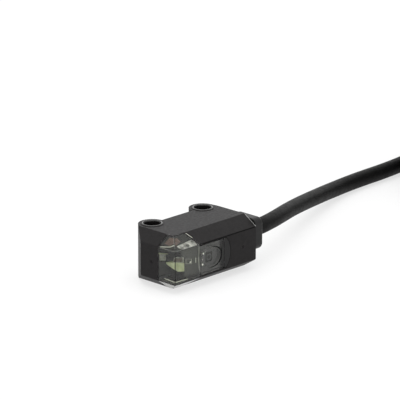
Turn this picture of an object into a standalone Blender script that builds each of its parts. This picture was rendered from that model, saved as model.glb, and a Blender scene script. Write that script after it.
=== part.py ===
"""Head of a through-beam photoelectric sensor with its cable, in metres, +Z up.

The head lies flat on its underside. +X is the way the cable leaves and -Y is the way the lens looks.
Shapes are drawn about the axis of the front mounting hole, and one empty carries them all, so that the
head's box stands centred on the origin.
"""

import math

import bmesh
import bpy
from mathutils import Matrix, Vector

# Housing: two M3 clearance holes, two lobes, bevels along the lens side and the end
HOLE_PITCH = 0.0127
HOLE_DIAMETER = 0.0032
HOLE_CHAMFER = 0.00025
RING_DIAMETER = 0.0041
RING_HEIGHT = 0.00008
LOBE_RADIUS = 0.0025
REAR_REACH = 0.0028
HOUSING_HEIGHT = 0.0097
LENS_FACE_REACH = 0.01045
END_BEVEL_RUN = 0.00235
LENS_BEVEL_RUN = 0.0028
BEVEL_DROP = 0.00175
FLANK_SETBACK = 0.0028
EDGE_RADIUS = 0.00015
WALL = 0.0009
JAMB_DEPTH = 0.002
WEB_DEPTH = 0.00295
RELIEF_DEPTH = 0.0006
RELIEF_MARGIN = 0.0004
DIMPLE_DIAMETER = 0.0007
DIMPLE_DEPTH = 0.00015
DIMPLE_FROM_REAR = 0.003
CLEARANCE = 0.00005

# Clear cover: a corner window and the lens plate in one moulding
COVER_WALL = 0.0009
PLATE_WALL = 0.0008
WINDOW_FOOT_REACH = 0.00635
WINDOW_TOP_REACH = 0.00515
WINDOW_END_REACH = 0.00425
PLATE_MARGIN = 0.0004
PLATE_REACH = 0.009
PLATE_END_RADIUS = 0.004
LENS_X = 0.00475
LENS_WIDTH = 0.005
LENS_HEIGHT = 0.00385
LENS_DEPTH = 0.0014
LENS_GROOVE = 0.00012

# Lid of the underside
LID_START = 0.0016
LID_REAR_SETBACK = 0.0013
LID_WIDTH = 0.0041
LID_LEDGE = 0.0004
LID_THICKNESS = 0.0005

# Optics inside. Heights of the guide and the lamp count from the middle of the housing
HOLDER_GAP = 0.00012
HOLDER_FRONT_GAP = 0.00015
HOLDER_CORE_GAP = 0.0006
IC_WIDTH = 0.0028
IC_HEIGHT = 0.0032
IC_DEPTH = 0.0012
IC_DOME_DIAMETER = 0.0018
FUNNEL_MARGIN = 0.00025
FUNNEL_THROAT = 0.0024
GUIDE_WIDTH = 0.0013
GUIDE_LENGTH = 0.0034
GUIDE_FRONT_LOW = -0.00175
GUIDE_FRONT_HIGH = 0.00035
GUIDE_TAIL_LOW = -0.00115
GUIDE_TAIL_HIGH = -0.00055
LED_WIDTH = 0.0014
LED_LENGTH = 0.0027
LED_SETBACK = 0.0003
LED_LOW = -0.00055
LED_HIGH = 0.00105

# Circuit board and what it carries
BOARD_BACK_SPACE = 0.0011
BOARD_THICKNESS = 0.0008
BOARD_REAR_GAP = 0.0013
BOARD_MARGIN = 0.0004
TERMINAL_SHARE = 0.2
AMPLIFIER_SHIFT = 0.0004
AMPLIFIER_SIZE = (0.0036, 0.0034, 0.00085)
AMPLIFIER_LEAD_PITCH = 0.00085
AMPLIFIER_LEAD_WIDTH = 0.0003
OUTPUT_FROM_REAR = 0.0028
OUTPUT_OFFSET = 0.0016
TRANSISTOR_SIZE = (0.0026, 0.0013, 0.0009)
TRANSISTOR_LEAD_PITCH = 0.0014
TRANSISTOR_LEAD_WIDTH = 0.0004
DIODE_SIZE = (0.0025, 0.0013, 0.0009)
FILTER_FROM_FRONT = 0.0024
FILTER_OFFSET = 0.0014
FILTER_CAPACITOR_SIZE = (0.0016, 0.0009, 0.0008)
GAIN_RESISTOR_SIZE = (0.0016, 0.0008, 0.0005)
LOAD_RESISTOR_FROM_REAR = 0.001
LOAD_RESISTOR_SIZE = (0.0005, 0.0008, 0.0004)
BULK_CAPACITOR_FROM_REAR = 0.0055
BULK_CAPACITOR_SIZE = (0.0018, 0.0012, 0.0008)

# Cable and its bush
CORD_DIAMETER = 0.003
BUSH_REACH = 0.00205
BUSH_WIDTH = 0.0063
BUSH_HEIGHT = 0.0059
BUSH_CORNER = 0.0012
BUSH_EDGE = 0.0005
BUSH_FROM_LENS_SIDE = 0.00325
BUSH_RISE = 0.0013
NECK_DIAMETER = 0.0042
NECK_TAIL = 0.0005
SHEATH_TAIL = 0.0004
CORE_DIAMETER = 0.0009
CORE_RING = 0.00065
CORE_TURNS = {"brown": 120, "black": 0, "blue": 240}
CORE_PADS = {"brown": 0.00245, "black": 0.00035, "blue": -0.00175}
CORE_STRAIGHT = 0.0008
CORE_BEND = 0.0018
CORE_REACH = 0.0025
COIL_TURNS_ACROSS = 4
COIL_TURNS_HIGH = 4
COIL_TURN_PITCH = 0.00305
COIL_MEAN_DIAMETER = 0.036
COIL_CENTRE = (0.0923, -0.0110)
TIE_THICKNESS = 0.0003
TIE_WIDTH = 0.003
TIE_SIDE_GAP = 0.0002
TIE_ANGLE = 215
TAIL_START = 0.27
TAIL_END = 2.88
TAIL_STEPS_INWARD = (0.75, 1.75, 2.75)
TAIL_STEP_LENGTH = 0.25
TAIL_CORE_TURNS = 0.17
TAIL_CORE_SPACING = 0.00098
TAIL_CORE_GAP = 0.0003
TAIL_TIP_DIAMETER = 0.0005
TAIL_TIP_LENGTH = 0.003

# The cable's route from the bush to the coil, chosen by hand along the floor
CORD_ROUTE = [
    (0.0206, -0.00706, 0.00615),
    (0.0246, -0.00590, 0.00596),
    (0.0286, -0.00425, 0.00560),
    (0.0332, -0.00205, 0.00500),
    (0.0379, 0.00020, 0.00430),
    (0.0430, 0.00265, 0.00358),
    (0.0482, 0.00506, 0.00290),
    (0.0527, 0.00715, 0.00232),
    (0.0572, 0.00902, 0.00185),
    (0.0610, 0.01030, 0.00160),
    (0.0648, 0.01112, 0.00152),
    (0.0690, 0.01158, 0.00152),
    (0.0745, 0.01178, 0.00152),
    (0.0803, 0.01180, 0.00157),
]

# Derived places
LENS_Y = -LENS_FACE_REACH
END_X = -(LOBE_RADIUS + END_BEVEL_RUN)
REAR_X = HOLE_PITCH + REAR_REACH
MID_Z = HOUSING_HEIGHT / 2
CAVITY_FRONT_X = END_X + JAMB_DEPTH
CAVITY_REAR_X = REAR_X - WALL
LID_END = REAR_X - LID_REAR_SETBACK
BUSH_REAR_X = REAR_X + BUSH_REACH
BUSH_Y = LENS_Y + BUSH_FROM_LENS_SIDE
BUSH_Z = MID_Z + BUSH_RISE
SHEATH_END_X = CAVITY_REAR_X - NECK_TAIL - SHEATH_TAIL
CORE_START_X = SHEATH_END_X - CLEARANCE
CORE_PAD_X = CORE_START_X - CORE_REACH
HOLDER_FRONT_X = CAVITY_FRONT_X + HOLDER_FRONT_GAP
HOLDER_REAR_X = CORE_PAD_X - CORE_DIAMETER / 2 - HOLDER_CORE_GAP
GUIDE_REAR_X = HOLDER_FRONT_X + GUIDE_WIDTH
LED_FRONT_X = GUIDE_REAR_X + CLEARANCE
LED_REAR_X = LED_FRONT_X + LED_WIDTH
COIL_INNER_RADIUS = (COIL_MEAN_DIAMETER - COIL_TURNS_ACROSS * COIL_TURN_PITCH) / 2
COIL_OUTER_RADIUS = (COIL_MEAN_DIAMETER + COIL_TURNS_ACROSS * COIL_TURN_PITCH) / 2
COIL_LOW = TIE_THICKNESS + CLEARANCE
COIL_HIGH = COIL_LOW + COIL_TURNS_HIGH * COIL_TURN_PITCH
TAIL_HIGH = COIL_HIGH + CLEARANCE + CORD_DIAMETER
BOARD_START_X = HOLDER_FRONT_X + BOARD_MARGIN
BOARD_END_X = CAVITY_REAR_X - BOARD_REAR_GAP
BOARD_BACK_Y = -WEB_DEPTH - BOARD_BACK_SPACE
BOARD_FRONT_Y = BOARD_BACK_Y - BOARD_THICKNESS
HOLDER_BACK_Y = BOARD_FRONT_Y - CLEARANCE
HOLDER_INSET = WALL + HOLDER_GAP
HOLDER_FACE_Y = LENS_Y + HOLDER_INSET
CENTRE = Vector(((END_X + BUSH_REAR_X) / 2, (LENS_Y + LOBE_RADIUS) / 2, 0))

BEYOND = 0.001
ARC_STEPS = 14
OVAL_STEPS = 28
ROUND_STEPS = 24


def clear_scene():
    for item in list(bpy.data.objects):
        bpy.data.objects.remove(item, do_unlink=True)


def new_collection(name):
    collection = bpy.data.collections.new(name)
    bpy.context.scene.collection.children.link(collection)
    return collection


def new_material(name, colour, roughness, metallic=0.0, transmission=0.0, alpha=1.0):
    material = bpy.data.materials.new(name)
    material.use_nodes = True
    shader = material.node_tree.nodes["Principled BSDF"]
    shader.inputs["Base Color"].default_value = (*colour, 1.0)
    shader.inputs["Roughness"].default_value = roughness
    shader.inputs["Metallic"].default_value = metallic
    shader.inputs["Transmission Weight"].default_value = transmission
    shader.inputs["Alpha"].default_value = alpha
    return material


clear_scene()
PARTS = new_collection("photoelectric_sensor")
CUTTERS = new_collection("cutters")
CARRIER = bpy.data.objects.new("sensor_origin", None)
CARRIER.location = -CENTRE
PARTS.objects.link(CARRIER)

BLACK_PLASTIC = new_material("black_plastic", (0.022, 0.021, 0.021), 0.5)
DARK_PLASTIC = new_material("dark_plastic", (0.06, 0.065, 0.06), 0.6)
CLEAR_PLASTIC = new_material("clear_plastic", (0.9, 0.92, 0.88), 0.05, transmission=1.0, alpha=0.35)
GUIDE_PLASTIC = new_material("guide_plastic", (0.62, 0.66, 0.4), 0.35)
EPOXY_DARK = new_material("epoxy_dark", (0.03, 0.03, 0.035), 0.3)
EPOXY_CLEAR = new_material("epoxy_clear", (0.55, 0.5, 0.42), 0.2)
BOARD_GREEN = new_material("board_green", (0.05, 0.16, 0.08), 0.45)
CERAMIC_TAN = new_material("ceramic_tan", (0.5, 0.38, 0.25), 0.6)
TINNED_COPPER = new_material("tinned_copper", (0.75, 0.73, 0.7), 0.3, metallic=1.0)
CORD_PVC = new_material("cord_pvc", (0.025, 0.026, 0.026), 0.55)
TIE_NYLON = new_material("tie_nylon", (0.03, 0.03, 0.03), 0.4)
CORE_PVC = {
    "brown": new_material("core_brown_pvc", (0.22, 0.09, 0.04), 0.5),
    "blue": new_material("core_blue_pvc", (0.03, 0.13, 0.5), 0.5),
    "black": new_material("core_black_pvc", (0.02, 0.02, 0.02), 0.5),
}


def link(name, mesh, collection, material=None):
    item = bpy.data.objects.new(name, mesh)
    item.parent = CARRIER
    collection.objects.link(item)
    if material:
        mesh.materials.append(material)
    if collection is CUTTERS:
        item.hide_render = True
        item.display_type = "WIRE"
    return item


def mesh_from_curve(name, curve, location=(0, 0, 0), rotation=(0, 0, 0)):
    """Closed mesh of a curve at that place, with its caps welded on."""
    maker = bpy.data.objects.new(name + "_curve", curve)
    maker.location = location
    maker.rotation_euler = rotation
    bpy.context.scene.collection.objects.link(maker)
    evaluated = maker.evaluated_get(bpy.context.evaluated_depsgraph_get())
    mesh = bpy.data.meshes.new_from_object(evaluated)
    mesh.name = name
    mesh.transform(maker.matrix_world)
    bpy.data.objects.remove(maker, do_unlink=True)
    shape = bmesh.new()
    shape.from_mesh(mesh)
    bmesh.ops.remove_doubles(shape, verts=shape.verts, dist=1e-7)
    bmesh.ops.dissolve_limit(shape, angle_limit=1e-4, verts=shape.verts, edges=shape.edges)
    bmesh.ops.recalc_face_normals(shape, faces=shape.faces)
    shape.to_mesh(mesh)
    shape.free()
    return mesh


AXIS_TURN = {
    "X": (math.pi / 2, 0, math.pi / 2),
    "Y": (math.pi / 2, 0, 0),
    "Z": (0, 0, 0),
}


def extrude(name, outlines, axis, low, high, collection=CUTTERS, material=None):
    """Prism of one or more closed outlines, drawn in the plane across an axis, from low to high along it.

    Across X the outline's pairs are (y, z), across Y they are (x, z) and across Z they are (x, y).
    """
    curve = bpy.data.curves.new(name, "CURVE")
    curve.dimensions = "2D"
    curve.fill_mode = "BOTH"
    curve.extrude = (high - low) / 2
    for outline in outlines:
        spline = curve.splines.new("POLY")
        spline.points.add(len(outline) - 1)
        for point, (first, second) in zip(spline.points, outline):
            point.co = (first, second, 0, 1)
        spline.use_cyclic_u = True
    middle = (low + high) / 2
    place = {"X": (middle, 0, 0), "Y": (0, middle, 0), "Z": (0, 0, middle)}[axis]
    mesh = mesh_from_curve(name, curve, place, AXIS_TURN[axis])
    return link(name, mesh, collection, material)


def cone(name, axis, centre, low, high, low_radius, high_radius, collection=CUTTERS, material=None,
         squeeze=(1.0, 1.0)):
    """Cylinder or cone along an axis through centre. squeeze scales its two cross directions."""
    shape = bmesh.new()
    bmesh.ops.create_cone(shape, cap_ends=True, segments=ROUND_STEPS, radius1=low_radius,
                          radius2=high_radius, depth=high - low)
    bmesh.ops.scale(shape, vec=(squeeze[0], squeeze[1], 1), verts=shape.verts)
    mesh = bpy.data.meshes.new(name)
    shape.to_mesh(mesh)
    shape.free()
    item = link(name, mesh, collection, material)
    item.rotation_euler = {"X": (0, math.pi / 2, 0), "Y": (-math.pi / 2, 0, 0), "Z": (0, 0, 0)}[axis]
    middle = (low + high) / 2
    item.location = {"X": (middle, centre[0], centre[1]), "Y": (centre[0], middle, centre[1]),
                     "Z": (centre[0], centre[1], middle)}[axis]
    return item


def box(name, low, high, collection=CUTTERS, material=None):
    shape = bmesh.new()
    bmesh.ops.create_cube(shape, size=1)
    low, high = Vector(low), Vector(high)
    bmesh.ops.scale(shape, vec=high - low, verts=shape.verts)
    mesh = bpy.data.meshes.new(name)
    shape.to_mesh(mesh)
    shape.free()
    item = link(name, mesh, collection, material)
    item.location = (low + high) / 2
    return item


def combine(target, tool, operation):
    step = target.modifiers.new(f"{operation.lower()}_{tool.name}", "BOOLEAN")
    step.operation = operation
    step.object = tool
    step.solver = "EXACT"


def arc(centre, radius, start, end, steps=ARC_STEPS, squeeze=1.0):
    """Points on an arc from start to end degrees. squeeze scales its second direction."""
    points = []
    for index in range(steps + 1):
        angle = math.radians(start + (end - start) * index / steps)
        points.append((centre[0] + radius * math.cos(angle), centre[1] + radius * squeeze * math.sin(angle)))
    return points


def filleted(corners, steps=3):
    """Outline with each corner (first, second, radius) rounded. A radius of 0 keeps it sharp."""
    points = []
    for index, (x, y, radius) in enumerate(corners):
        here = Vector((x, y))
        if not radius:
            points.append((x, y))
            continue
        before = (Vector(corners[index - 1][:2]) - here).normalized()
        after = (Vector(corners[(index + 1) % len(corners)][:2]) - here).normalized()
        half = before.angle(after) / 2
        centre = here + (before + after).normalized() * radius / math.sin(half)
        start = here + before * radius / math.tan(half) - centre
        turn = before.angle_signed(after)
        sweep = math.copysign(math.pi - 2 * half, turn)
        for step in range(steps + 1):
            angle = -sweep * step / steps
            spoke = Vector((start.x * math.cos(angle) - start.y * math.sin(angle),
                            start.x * math.sin(angle) + start.y * math.cos(angle)))
            points.append(tuple(centre + spoke))
    return points


def oval(centre, width, height):
    return arc(centre, width / 2, 0, 360 - 360 / OVAL_STEPS, OVAL_STEPS - 1, height / width)


def rounded_rectangle(low, high, radius, steps=5):
    corners = [
        ((high[0] - radius, high[1] - radius), 0),
        ((low[0] + radius, high[1] - radius), 90),
        ((low[0] + radius, low[1] + radius), 180),
        ((high[0] - radius, low[1] + radius), 270),
    ]
    return [point for centre, start in corners for point in arc(centre, radius, start, start + 90, steps)]


def bevelled_section(near, far, run, inset=0.0):
    """Section of the housing across a bevelled side at near, shrunk on all sides by inset."""
    slope = math.hypot(run, BEVEL_DROP)
    along = run + inset * (slope - run) / BEVEL_DROP
    foot = BEVEL_DROP + inset * (slope - BEVEL_DROP) / run
    low, high = inset, HOUSING_HEIGHT - inset
    radius = 0 if inset else EDGE_RADIUS
    return filleted([
        (near + inset, foot, radius),
        (near + along, low, radius),
        (far, low, 0),
        (far, high, 0),
        (near + along, high, radius),
        (near + inset, HOUSING_HEIGHT - foot, radius),
    ])


def lens_side_body(name, inset, start, end, far, collection=CUTTERS, material=None):
    """Body with the bevelled section of the lens side, from start to end along X."""
    section = bevelled_section(LENS_Y, far, LENS_BEVEL_RUN, inset)
    return extrude(name, [section], "X", start, end, collection, material)


def end_side_body(name, inset):
    """Body with the bevelled section of the end, wider than the housing along Y."""
    section = bevelled_section(END_X, REAR_X + 2 * BEYOND, END_BEVEL_RUN, inset)
    return extrude(name, [section], "Y", LENS_Y - BEYOND, LOBE_RADIUS + BEYOND)


def window_outline(gap):
    """Plan of the clear corner: it borders the top face, the jamb at the end and the slanted line."""
    top_x = END_X + END_BEVEL_RUN + gap
    top_y = LENS_Y + LENS_BEVEL_RUN + gap
    slant = (WINDOW_FOOT_REACH - WINDOW_TOP_REACH) / LENS_BEVEL_RUN
    jamb_y = LENS_Y + WINDOW_END_REACH + gap
    foot_x = END_X + WINDOW_FOOT_REACH + gap
    return [
        (END_X - BEYOND, LENS_Y - BEYOND),
        (foot_x + slant * BEYOND, LENS_Y - BEYOND),
        (foot_x - slant * (LENS_BEVEL_RUN + gap), top_y),
        (top_x, top_y),
        (top_x, jamb_y),
        (END_X - BEYOND, jamb_y),
    ]


def plate_outline(gap, start):
    """Elevation of the lens plate: straight above and below, with an arc at its far end."""
    half = MID_Z - BEVEL_DROP - PLATE_MARGIN + gap
    radius = PLATE_END_RADIUS + gap
    turn = math.degrees(math.asin(half / radius))
    rounded = arc((PLATE_REACH - PLATE_END_RADIUS, MID_Z), radius, -turn, turn)
    return [(start, MID_Z - half)] + rounded + [(start, MID_Z + half)]


def hole_places():
    return [(0, 0), (HOLE_PITCH, 0)]


def case_plan():
    """Plan of the housing. A flank runs from each end face to where it touches that end's lobe."""
    front_touch = flank_touch(-END_X)
    rear_touch = 180 - flank_touch(REAR_REACH)
    lobes = (arc((HOLE_PITCH, 0), LOBE_RADIUS, rear_touch, 180)
             + arc((0, 0), LOBE_RADIUS, 0, front_touch))
    return filleted(
        [(END_X, LENS_Y, EDGE_RADIUS), (REAR_X, LENS_Y, EDGE_RADIUS), (REAR_X, -FLANK_SETBACK, 0)]
        + [(x, y, 0) for x, y in lobes]
        + [(END_X, -FLANK_SETBACK, EDGE_RADIUS)]
    )


def flank_touch(reach):
    """Angle at which a flank from a corner that far past a lobe's axis touches the lobe, from the +X side."""
    corner_angle = 180 + math.degrees(math.atan2(FLANK_SETBACK, reach))
    return corner_angle - math.degrees(math.acos(LOBE_RADIUS / math.hypot(reach, FLANK_SETBACK)))


def make_case():
    case = extrude("case", [case_plan()], "Z", 0, HOUSING_HEIGHT, PARTS, BLACK_PLASTIC)
    side = lens_side_body("case_side_form", 0, END_X - BEYOND, REAR_X + BEYOND, LOBE_RADIUS + BEYOND)
    combine(case, side, "INTERSECT")
    combine(case, end_side_body("case_end_form", 0), "INTERSECT")

    cavity = lens_side_body("case_cavity", WALL, CAVITY_FRONT_X, CAVITY_REAR_X, -WEB_DEPTH)
    combine(case, cavity, "DIFFERENCE")
    window = extrude("case_window", [window_outline(CLEARANCE / 2)], "Z", -BEYOND,
                     HOUSING_HEIGHT + BEYOND)
    combine(case, window, "DIFFERENCE")
    plate = extrude("case_plate_opening", [plate_outline(CLEARANCE, END_X)], "Y", LENS_Y - BEYOND,
                    LENS_Y + WALL + CLEARANCE)
    combine(case, plate, "DIFFERENCE")

    for number, centre in enumerate(hole_places(), 1):
        radius = HOLE_DIAMETER / 2
        ring = cone(f"case_ring_{number}", "Z", centre, HOUSING_HEIGHT - WALL, HOUSING_HEIGHT + RING_HEIGHT,
                    RING_DIAMETER / 2, RING_DIAMETER / 2)
        combine(case, ring, "UNION")
        bore = cone(f"case_bore_{number}", "Z", centre, -BEYOND, HOUSING_HEIGHT + BEYOND, radius, radius)
        combine(case, bore, "DIFFERENCE")
        mouth = HOUSING_HEIGHT + RING_HEIGHT
        top_chamfer = cone(f"case_top_chamfer_{number}", "Z", centre, mouth - HOLE_CHAMFER, mouth + HOLE_CHAMFER,
                           radius, radius + 2 * HOLE_CHAMFER)
        combine(case, top_chamfer, "DIFFERENCE")
        low_chamfer = cone(f"case_low_chamfer_{number}", "Z", centre, -HOLE_CHAMFER, HOLE_CHAMFER,
                           radius + 2 * HOLE_CHAMFER, radius)
        combine(case, low_chamfer, "DIFFERENCE")

    relief_start = LOBE_RADIUS + RELIEF_MARGIN
    relief = box("case_relief", (relief_start, -WEB_DEPTH + RELIEF_MARGIN, -BEYOND),
                 (HOLE_PITCH - relief_start, BEYOND, RELIEF_DEPTH))
    combine(case, relief, "DIFFERENCE")

    lid_y = lid_span()
    mouth_cut = box("case_lid_mouth", (LID_START + LID_LEDGE, lid_y[0] + LID_LEDGE, -BEYOND),
                    (LID_END - LID_LEDGE, lid_y[1] - LID_LEDGE, WALL + BEYOND / 4))
    combine(case, mouth_cut, "DIFFERENCE")
    seat = box("case_lid_seat", (LID_START - CLEARANCE, lid_y[0] - CLEARANCE, -BEYOND),
               (LID_END + CLEARANCE, lid_y[1] + CLEARANCE, LID_THICKNESS + CLEARANCE))
    combine(case, seat, "DIFFERENCE")

    neck_hole = cone("case_neck_hole", "X", (BUSH_Y, BUSH_Z), CAVITY_REAR_X - NECK_TAIL - CLEARANCE,
                     REAR_X + BEYOND, NECK_DIAMETER / 2 + CLEARANCE, NECK_DIAMETER / 2 + CLEARANCE)
    combine(case, neck_hole, "DIFFERENCE")

    dimples = [
        ("Y", (REAR_X - DIMPLE_FROM_REAR, MID_Z), LENS_Y, 1),
        ("X", (-FLANK_SETBACK - 2 * WALL, MID_Z), END_X, 1),
        ("Y", (HOLE_PITCH / 2, MID_Z), 0, -1),
    ]
    for number, (axis, centre, face, inward) in enumerate(dimples, 1):
        ends = sorted((face - inward * DIMPLE_DEPTH, face + inward * DIMPLE_DEPTH))
        radii = (DIMPLE_DIAMETER, DIMPLE_DIAMETER / 8)
        low_radius, high_radius = radii if inward > 0 else radii[::-1]
        dimple = cone(f"case_dimple_{number}", axis, centre, ends[0], ends[1], low_radius, high_radius)
        combine(case, dimple, "DIFFERENCE")
    return case


def lid_span():
    """The lid's two edges along Y. Its inner edge is in line with the cavity's wall."""
    return (-WEB_DEPTH - LID_WIDTH, -WEB_DEPTH)


def make_bottom_cover():
    lid_y = lid_span()
    outline = rounded_rectangle((LID_START, lid_y[0]), (LID_END, lid_y[1]), LID_LEDGE / 2, 2)
    return extrude("bottom_cover", [outline], "Z", 0, LID_THICKNESS, PARTS, BLACK_PLASTIC)


def make_front_cover():
    cover = extrude("front_cover", [window_outline(-CLEARANCE / 2)], "Z", -BEYOND, HOUSING_HEIGHT + BEYOND, PARTS,
                    CLEAR_PLASTIC)
    side = lens_side_body("cover_side_form", 0, END_X - BEYOND, REAR_X, LOBE_RADIUS)
    combine(cover, side, "INTERSECT")
    combine(cover, end_side_body("cover_end_form", 0), "INTERSECT")
    corner = filleted([(END_X, LENS_Y, EDGE_RADIUS), (REAR_X, LENS_Y, 0), (REAR_X, 0, 0), (END_X, 0, 0)])
    combine(cover, extrude("cover_corner_form", [corner], "Z", -BEYOND, HOUSING_HEIGHT + BEYOND), "INTERSECT")
    inner = lens_side_body("cover_inner_side", COVER_WALL, END_X, REAR_X, LOBE_RADIUS)
    combine(inner, end_side_body("cover_inner_end", COVER_WALL), "INTERSECT")
    combine(cover, inner, "DIFFERENCE")

    overlap_x = END_X + WINDOW_FOOT_REACH - COVER_WALL
    plate = extrude("cover_plate", [plate_outline(0, overlap_x)], "Y", LENS_Y, LENS_Y + PLATE_WALL)
    combine(cover, plate, "UNION")

    bulge = lens_bulge()
    combine(cover, bulge, "UNION")
    ring = [oval((LENS_X, MID_Z), LENS_WIDTH, LENS_HEIGHT),
            oval((LENS_X, MID_Z), LENS_WIDTH - 2 * LENS_GROOVE, LENS_HEIGHT - 2 * LENS_GROOVE)]
    groove = extrude("cover_lens_groove", ring, "Y", LENS_Y - BEYOND, LENS_Y + LENS_GROOVE)
    combine(cover, groove, "DIFFERENCE")
    return cover


def lens_bulge():
    """Convex inner side of the lens, half sunk in the plate."""
    shape = bmesh.new()
    bmesh.ops.create_uvsphere(shape, u_segments=ROUND_STEPS, v_segments=12, radius=1)
    bmesh.ops.rotate(shape, cent=(0, 0, 0), matrix=Matrix.Rotation(math.pi / 2, 3, "X"), verts=shape.verts)
    size = (LENS_WIDTH / 2 - LENS_GROOVE, LENS_DEPTH, LENS_HEIGHT / 2 - LENS_GROOVE)
    bmesh.ops.scale(shape, vec=size, verts=shape.verts)
    plane = bmesh.ops.bisect_plane(shape, geom=shape.verts[:] + shape.edges[:] + shape.faces[:],
                                   plane_co=(0, -PLATE_WALL / 4, 0), plane_no=(0, -1, 0), clear_outer=True)
    rim = [piece for piece in plane["geom_cut"] if isinstance(piece, bmesh.types.BMEdge)]
    bmesh.ops.contextual_create(shape, geom=rim)
    bmesh.ops.recalc_face_normals(shape, faces=shape.faces)
    mesh = bpy.data.meshes.new("cover_lens_bulge")
    shape.to_mesh(mesh)
    shape.free()
    bulge = link("cover_lens_bulge", mesh, CUTTERS)
    bulge.location = (LENS_X, LENS_Y + PLATE_WALL * 0.75, MID_Z)
    return bulge


def guide_outline(gap):
    """Wedge of the light pipe in elevation, narrow at the board and wide at the window."""
    front = HOLDER_FACE_Y - gap
    tail = HOLDER_FACE_Y + GUIDE_LENGTH + gap
    return [
        (front, MID_Z + GUIDE_FRONT_LOW - gap),
        (tail, MID_Z + GUIDE_TAIL_LOW - gap),
        (tail, MID_Z + GUIDE_TAIL_HIGH + gap),
        (front, MID_Z + GUIDE_FRONT_HIGH + gap),
    ]


def led_outline(gap):
    """Side view of the indicator lamp: flat below, with a quarter round towards the board."""
    low = MID_Z + LED_LOW - gap
    rise = LED_HIGH - LED_LOW
    front = HOLDER_FACE_Y + LED_SETBACK
    tail = front + LED_LENGTH
    curve = arc((tail - rise, low), rise + gap, 0, 90, 8)
    return [(front - gap, low)] + curve + [(front - gap, MID_Z + LED_HIGH + gap)]


def make_light_guide():
    return extrude("light_guide", [guide_outline(0)], "X", HOLDER_FRONT_X, GUIDE_REAR_X, PARTS, GUIDE_PLASTIC)


def make_indicator_led():
    return extrude("indicator_led", [led_outline(0)], "X", LED_FRONT_X, LED_REAR_X, PARTS, EPOXY_CLEAR)


def make_optics_holder():
    holder = lens_side_body("optics_holder", HOLDER_INSET, HOLDER_FRONT_X, HOLDER_REAR_X, HOLDER_BACK_Y, PARTS,
                            DARK_PLASTIC)
    combine(holder, end_side_body("holder_end_form", HOLDER_INSET), "INTERSECT")

    front = HOLDER_FRONT_X - BEYOND
    guide = extrude("holder_guide_slot", [guide_outline(CLEARANCE)], "X", front, GUIDE_REAR_X + CLEARANCE / 2)
    combine(holder, guide, "DIFFERENCE")
    opening = box("holder_guide_mouth", (front, LENS_Y, MID_Z + GUIDE_FRONT_LOW - CLEARANCE),
                  (GUIDE_REAR_X + CLEARANCE / 2, HOLDER_FACE_Y + CLEARANCE, MID_Z + GUIDE_FRONT_HIGH + CLEARANCE))
    combine(holder, opening, "DIFFERENCE")
    lamp = extrude("holder_led_slot", [led_outline(CLEARANCE)], "X", front, LED_REAR_X + CLEARANCE)
    combine(holder, lamp, "DIFFERENCE")
    lamp_mouth = box("holder_led_mouth", (front, LENS_Y, MID_Z + LED_LOW - CLEARANCE),
                     (LED_REAR_X + CLEARANCE, HOLDER_FACE_Y + 2 * LED_SETBACK, MID_Z + LED_HIGH + CLEARANCE))
    combine(holder, lamp_mouth, "DIFFERENCE")

    pocket_y = ic_front_y() - CLEARANCE
    mouth = LENS_WIDTH / 2 + FUNNEL_MARGIN
    funnel = cone("holder_funnel", "Y", (LENS_X, MID_Z), HOLDER_FACE_Y - CLEARANCE, pocket_y + CLEARANCE,
                  mouth, FUNNEL_THROAT / 2, squeeze=(1.0, LENS_HEIGHT / LENS_WIDTH))
    combine(holder, funnel, "DIFFERENCE")
    pocket = box("holder_ic_pocket",
                 (LENS_X - IC_WIDTH / 2 - CLEARANCE, pocket_y, MID_Z - IC_HEIGHT / 2 - CLEARANCE),
                 (LENS_X + IC_WIDTH / 2 + CLEARANCE, HOLDER_BACK_Y + BEYOND, MID_Z + IC_HEIGHT / 2 + CLEARANCE))
    combine(holder, pocket, "DIFFERENCE")
    return holder


def ic_front_y():
    return BOARD_FRONT_Y - CLEARANCE - IC_DEPTH


def make_photo_ic():
    front = ic_front_y()
    body = box("photo_ic", (LENS_X - IC_WIDTH / 2, front, MID_Z - IC_HEIGHT / 2),
               (LENS_X + IC_WIDTH / 2, BOARD_FRONT_Y - CLEARANCE, MID_Z + IC_HEIGHT / 2), PARTS, EPOXY_CLEAR)
    dome = cone("photo_ic_dome", "Y", (LENS_X, MID_Z), front - IC_DEPTH / 4, front + IC_DEPTH / 4,
                IC_DOME_DIAMETER / 3, IC_DOME_DIAMETER / 2)
    combine(body, dome, "UNION")
    return body


def make_pcb():
    low = BOARD_MARGIN + WALL
    return box("pcb", (BOARD_START_X, BOARD_FRONT_Y, low), (BOARD_END_X, BOARD_BACK_Y, HOUSING_HEIGHT - low),
               PARTS, BOARD_GREEN)


def chip(name, centre, size, material):
    """Two-terminal chip flat on the board's back."""
    seat = BOARD_BACK_Y + CLEARANCE
    x, z = centre
    length, width, height = size
    body = box(name, (x - length / 2, seat, z - width / 2), (x + length / 2, seat + height, z + width / 2),
               PARTS, material)
    cap = height * TERMINAL_SHARE / 4
    cap_length = length * TERMINAL_SHARE
    for end in (-1, 1):
        ends = sorted((x + end * (length / 2 + cap), x + end * (length / 2 - cap_length)))
        terminal = box(f"{name}_terminal_{end}", (ends[0], seat, z - width / 2 - cap),
                       (ends[1], seat + height + cap, z + width / 2 + cap))
        combine(body, terminal, "UNION")
    return body


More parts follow.
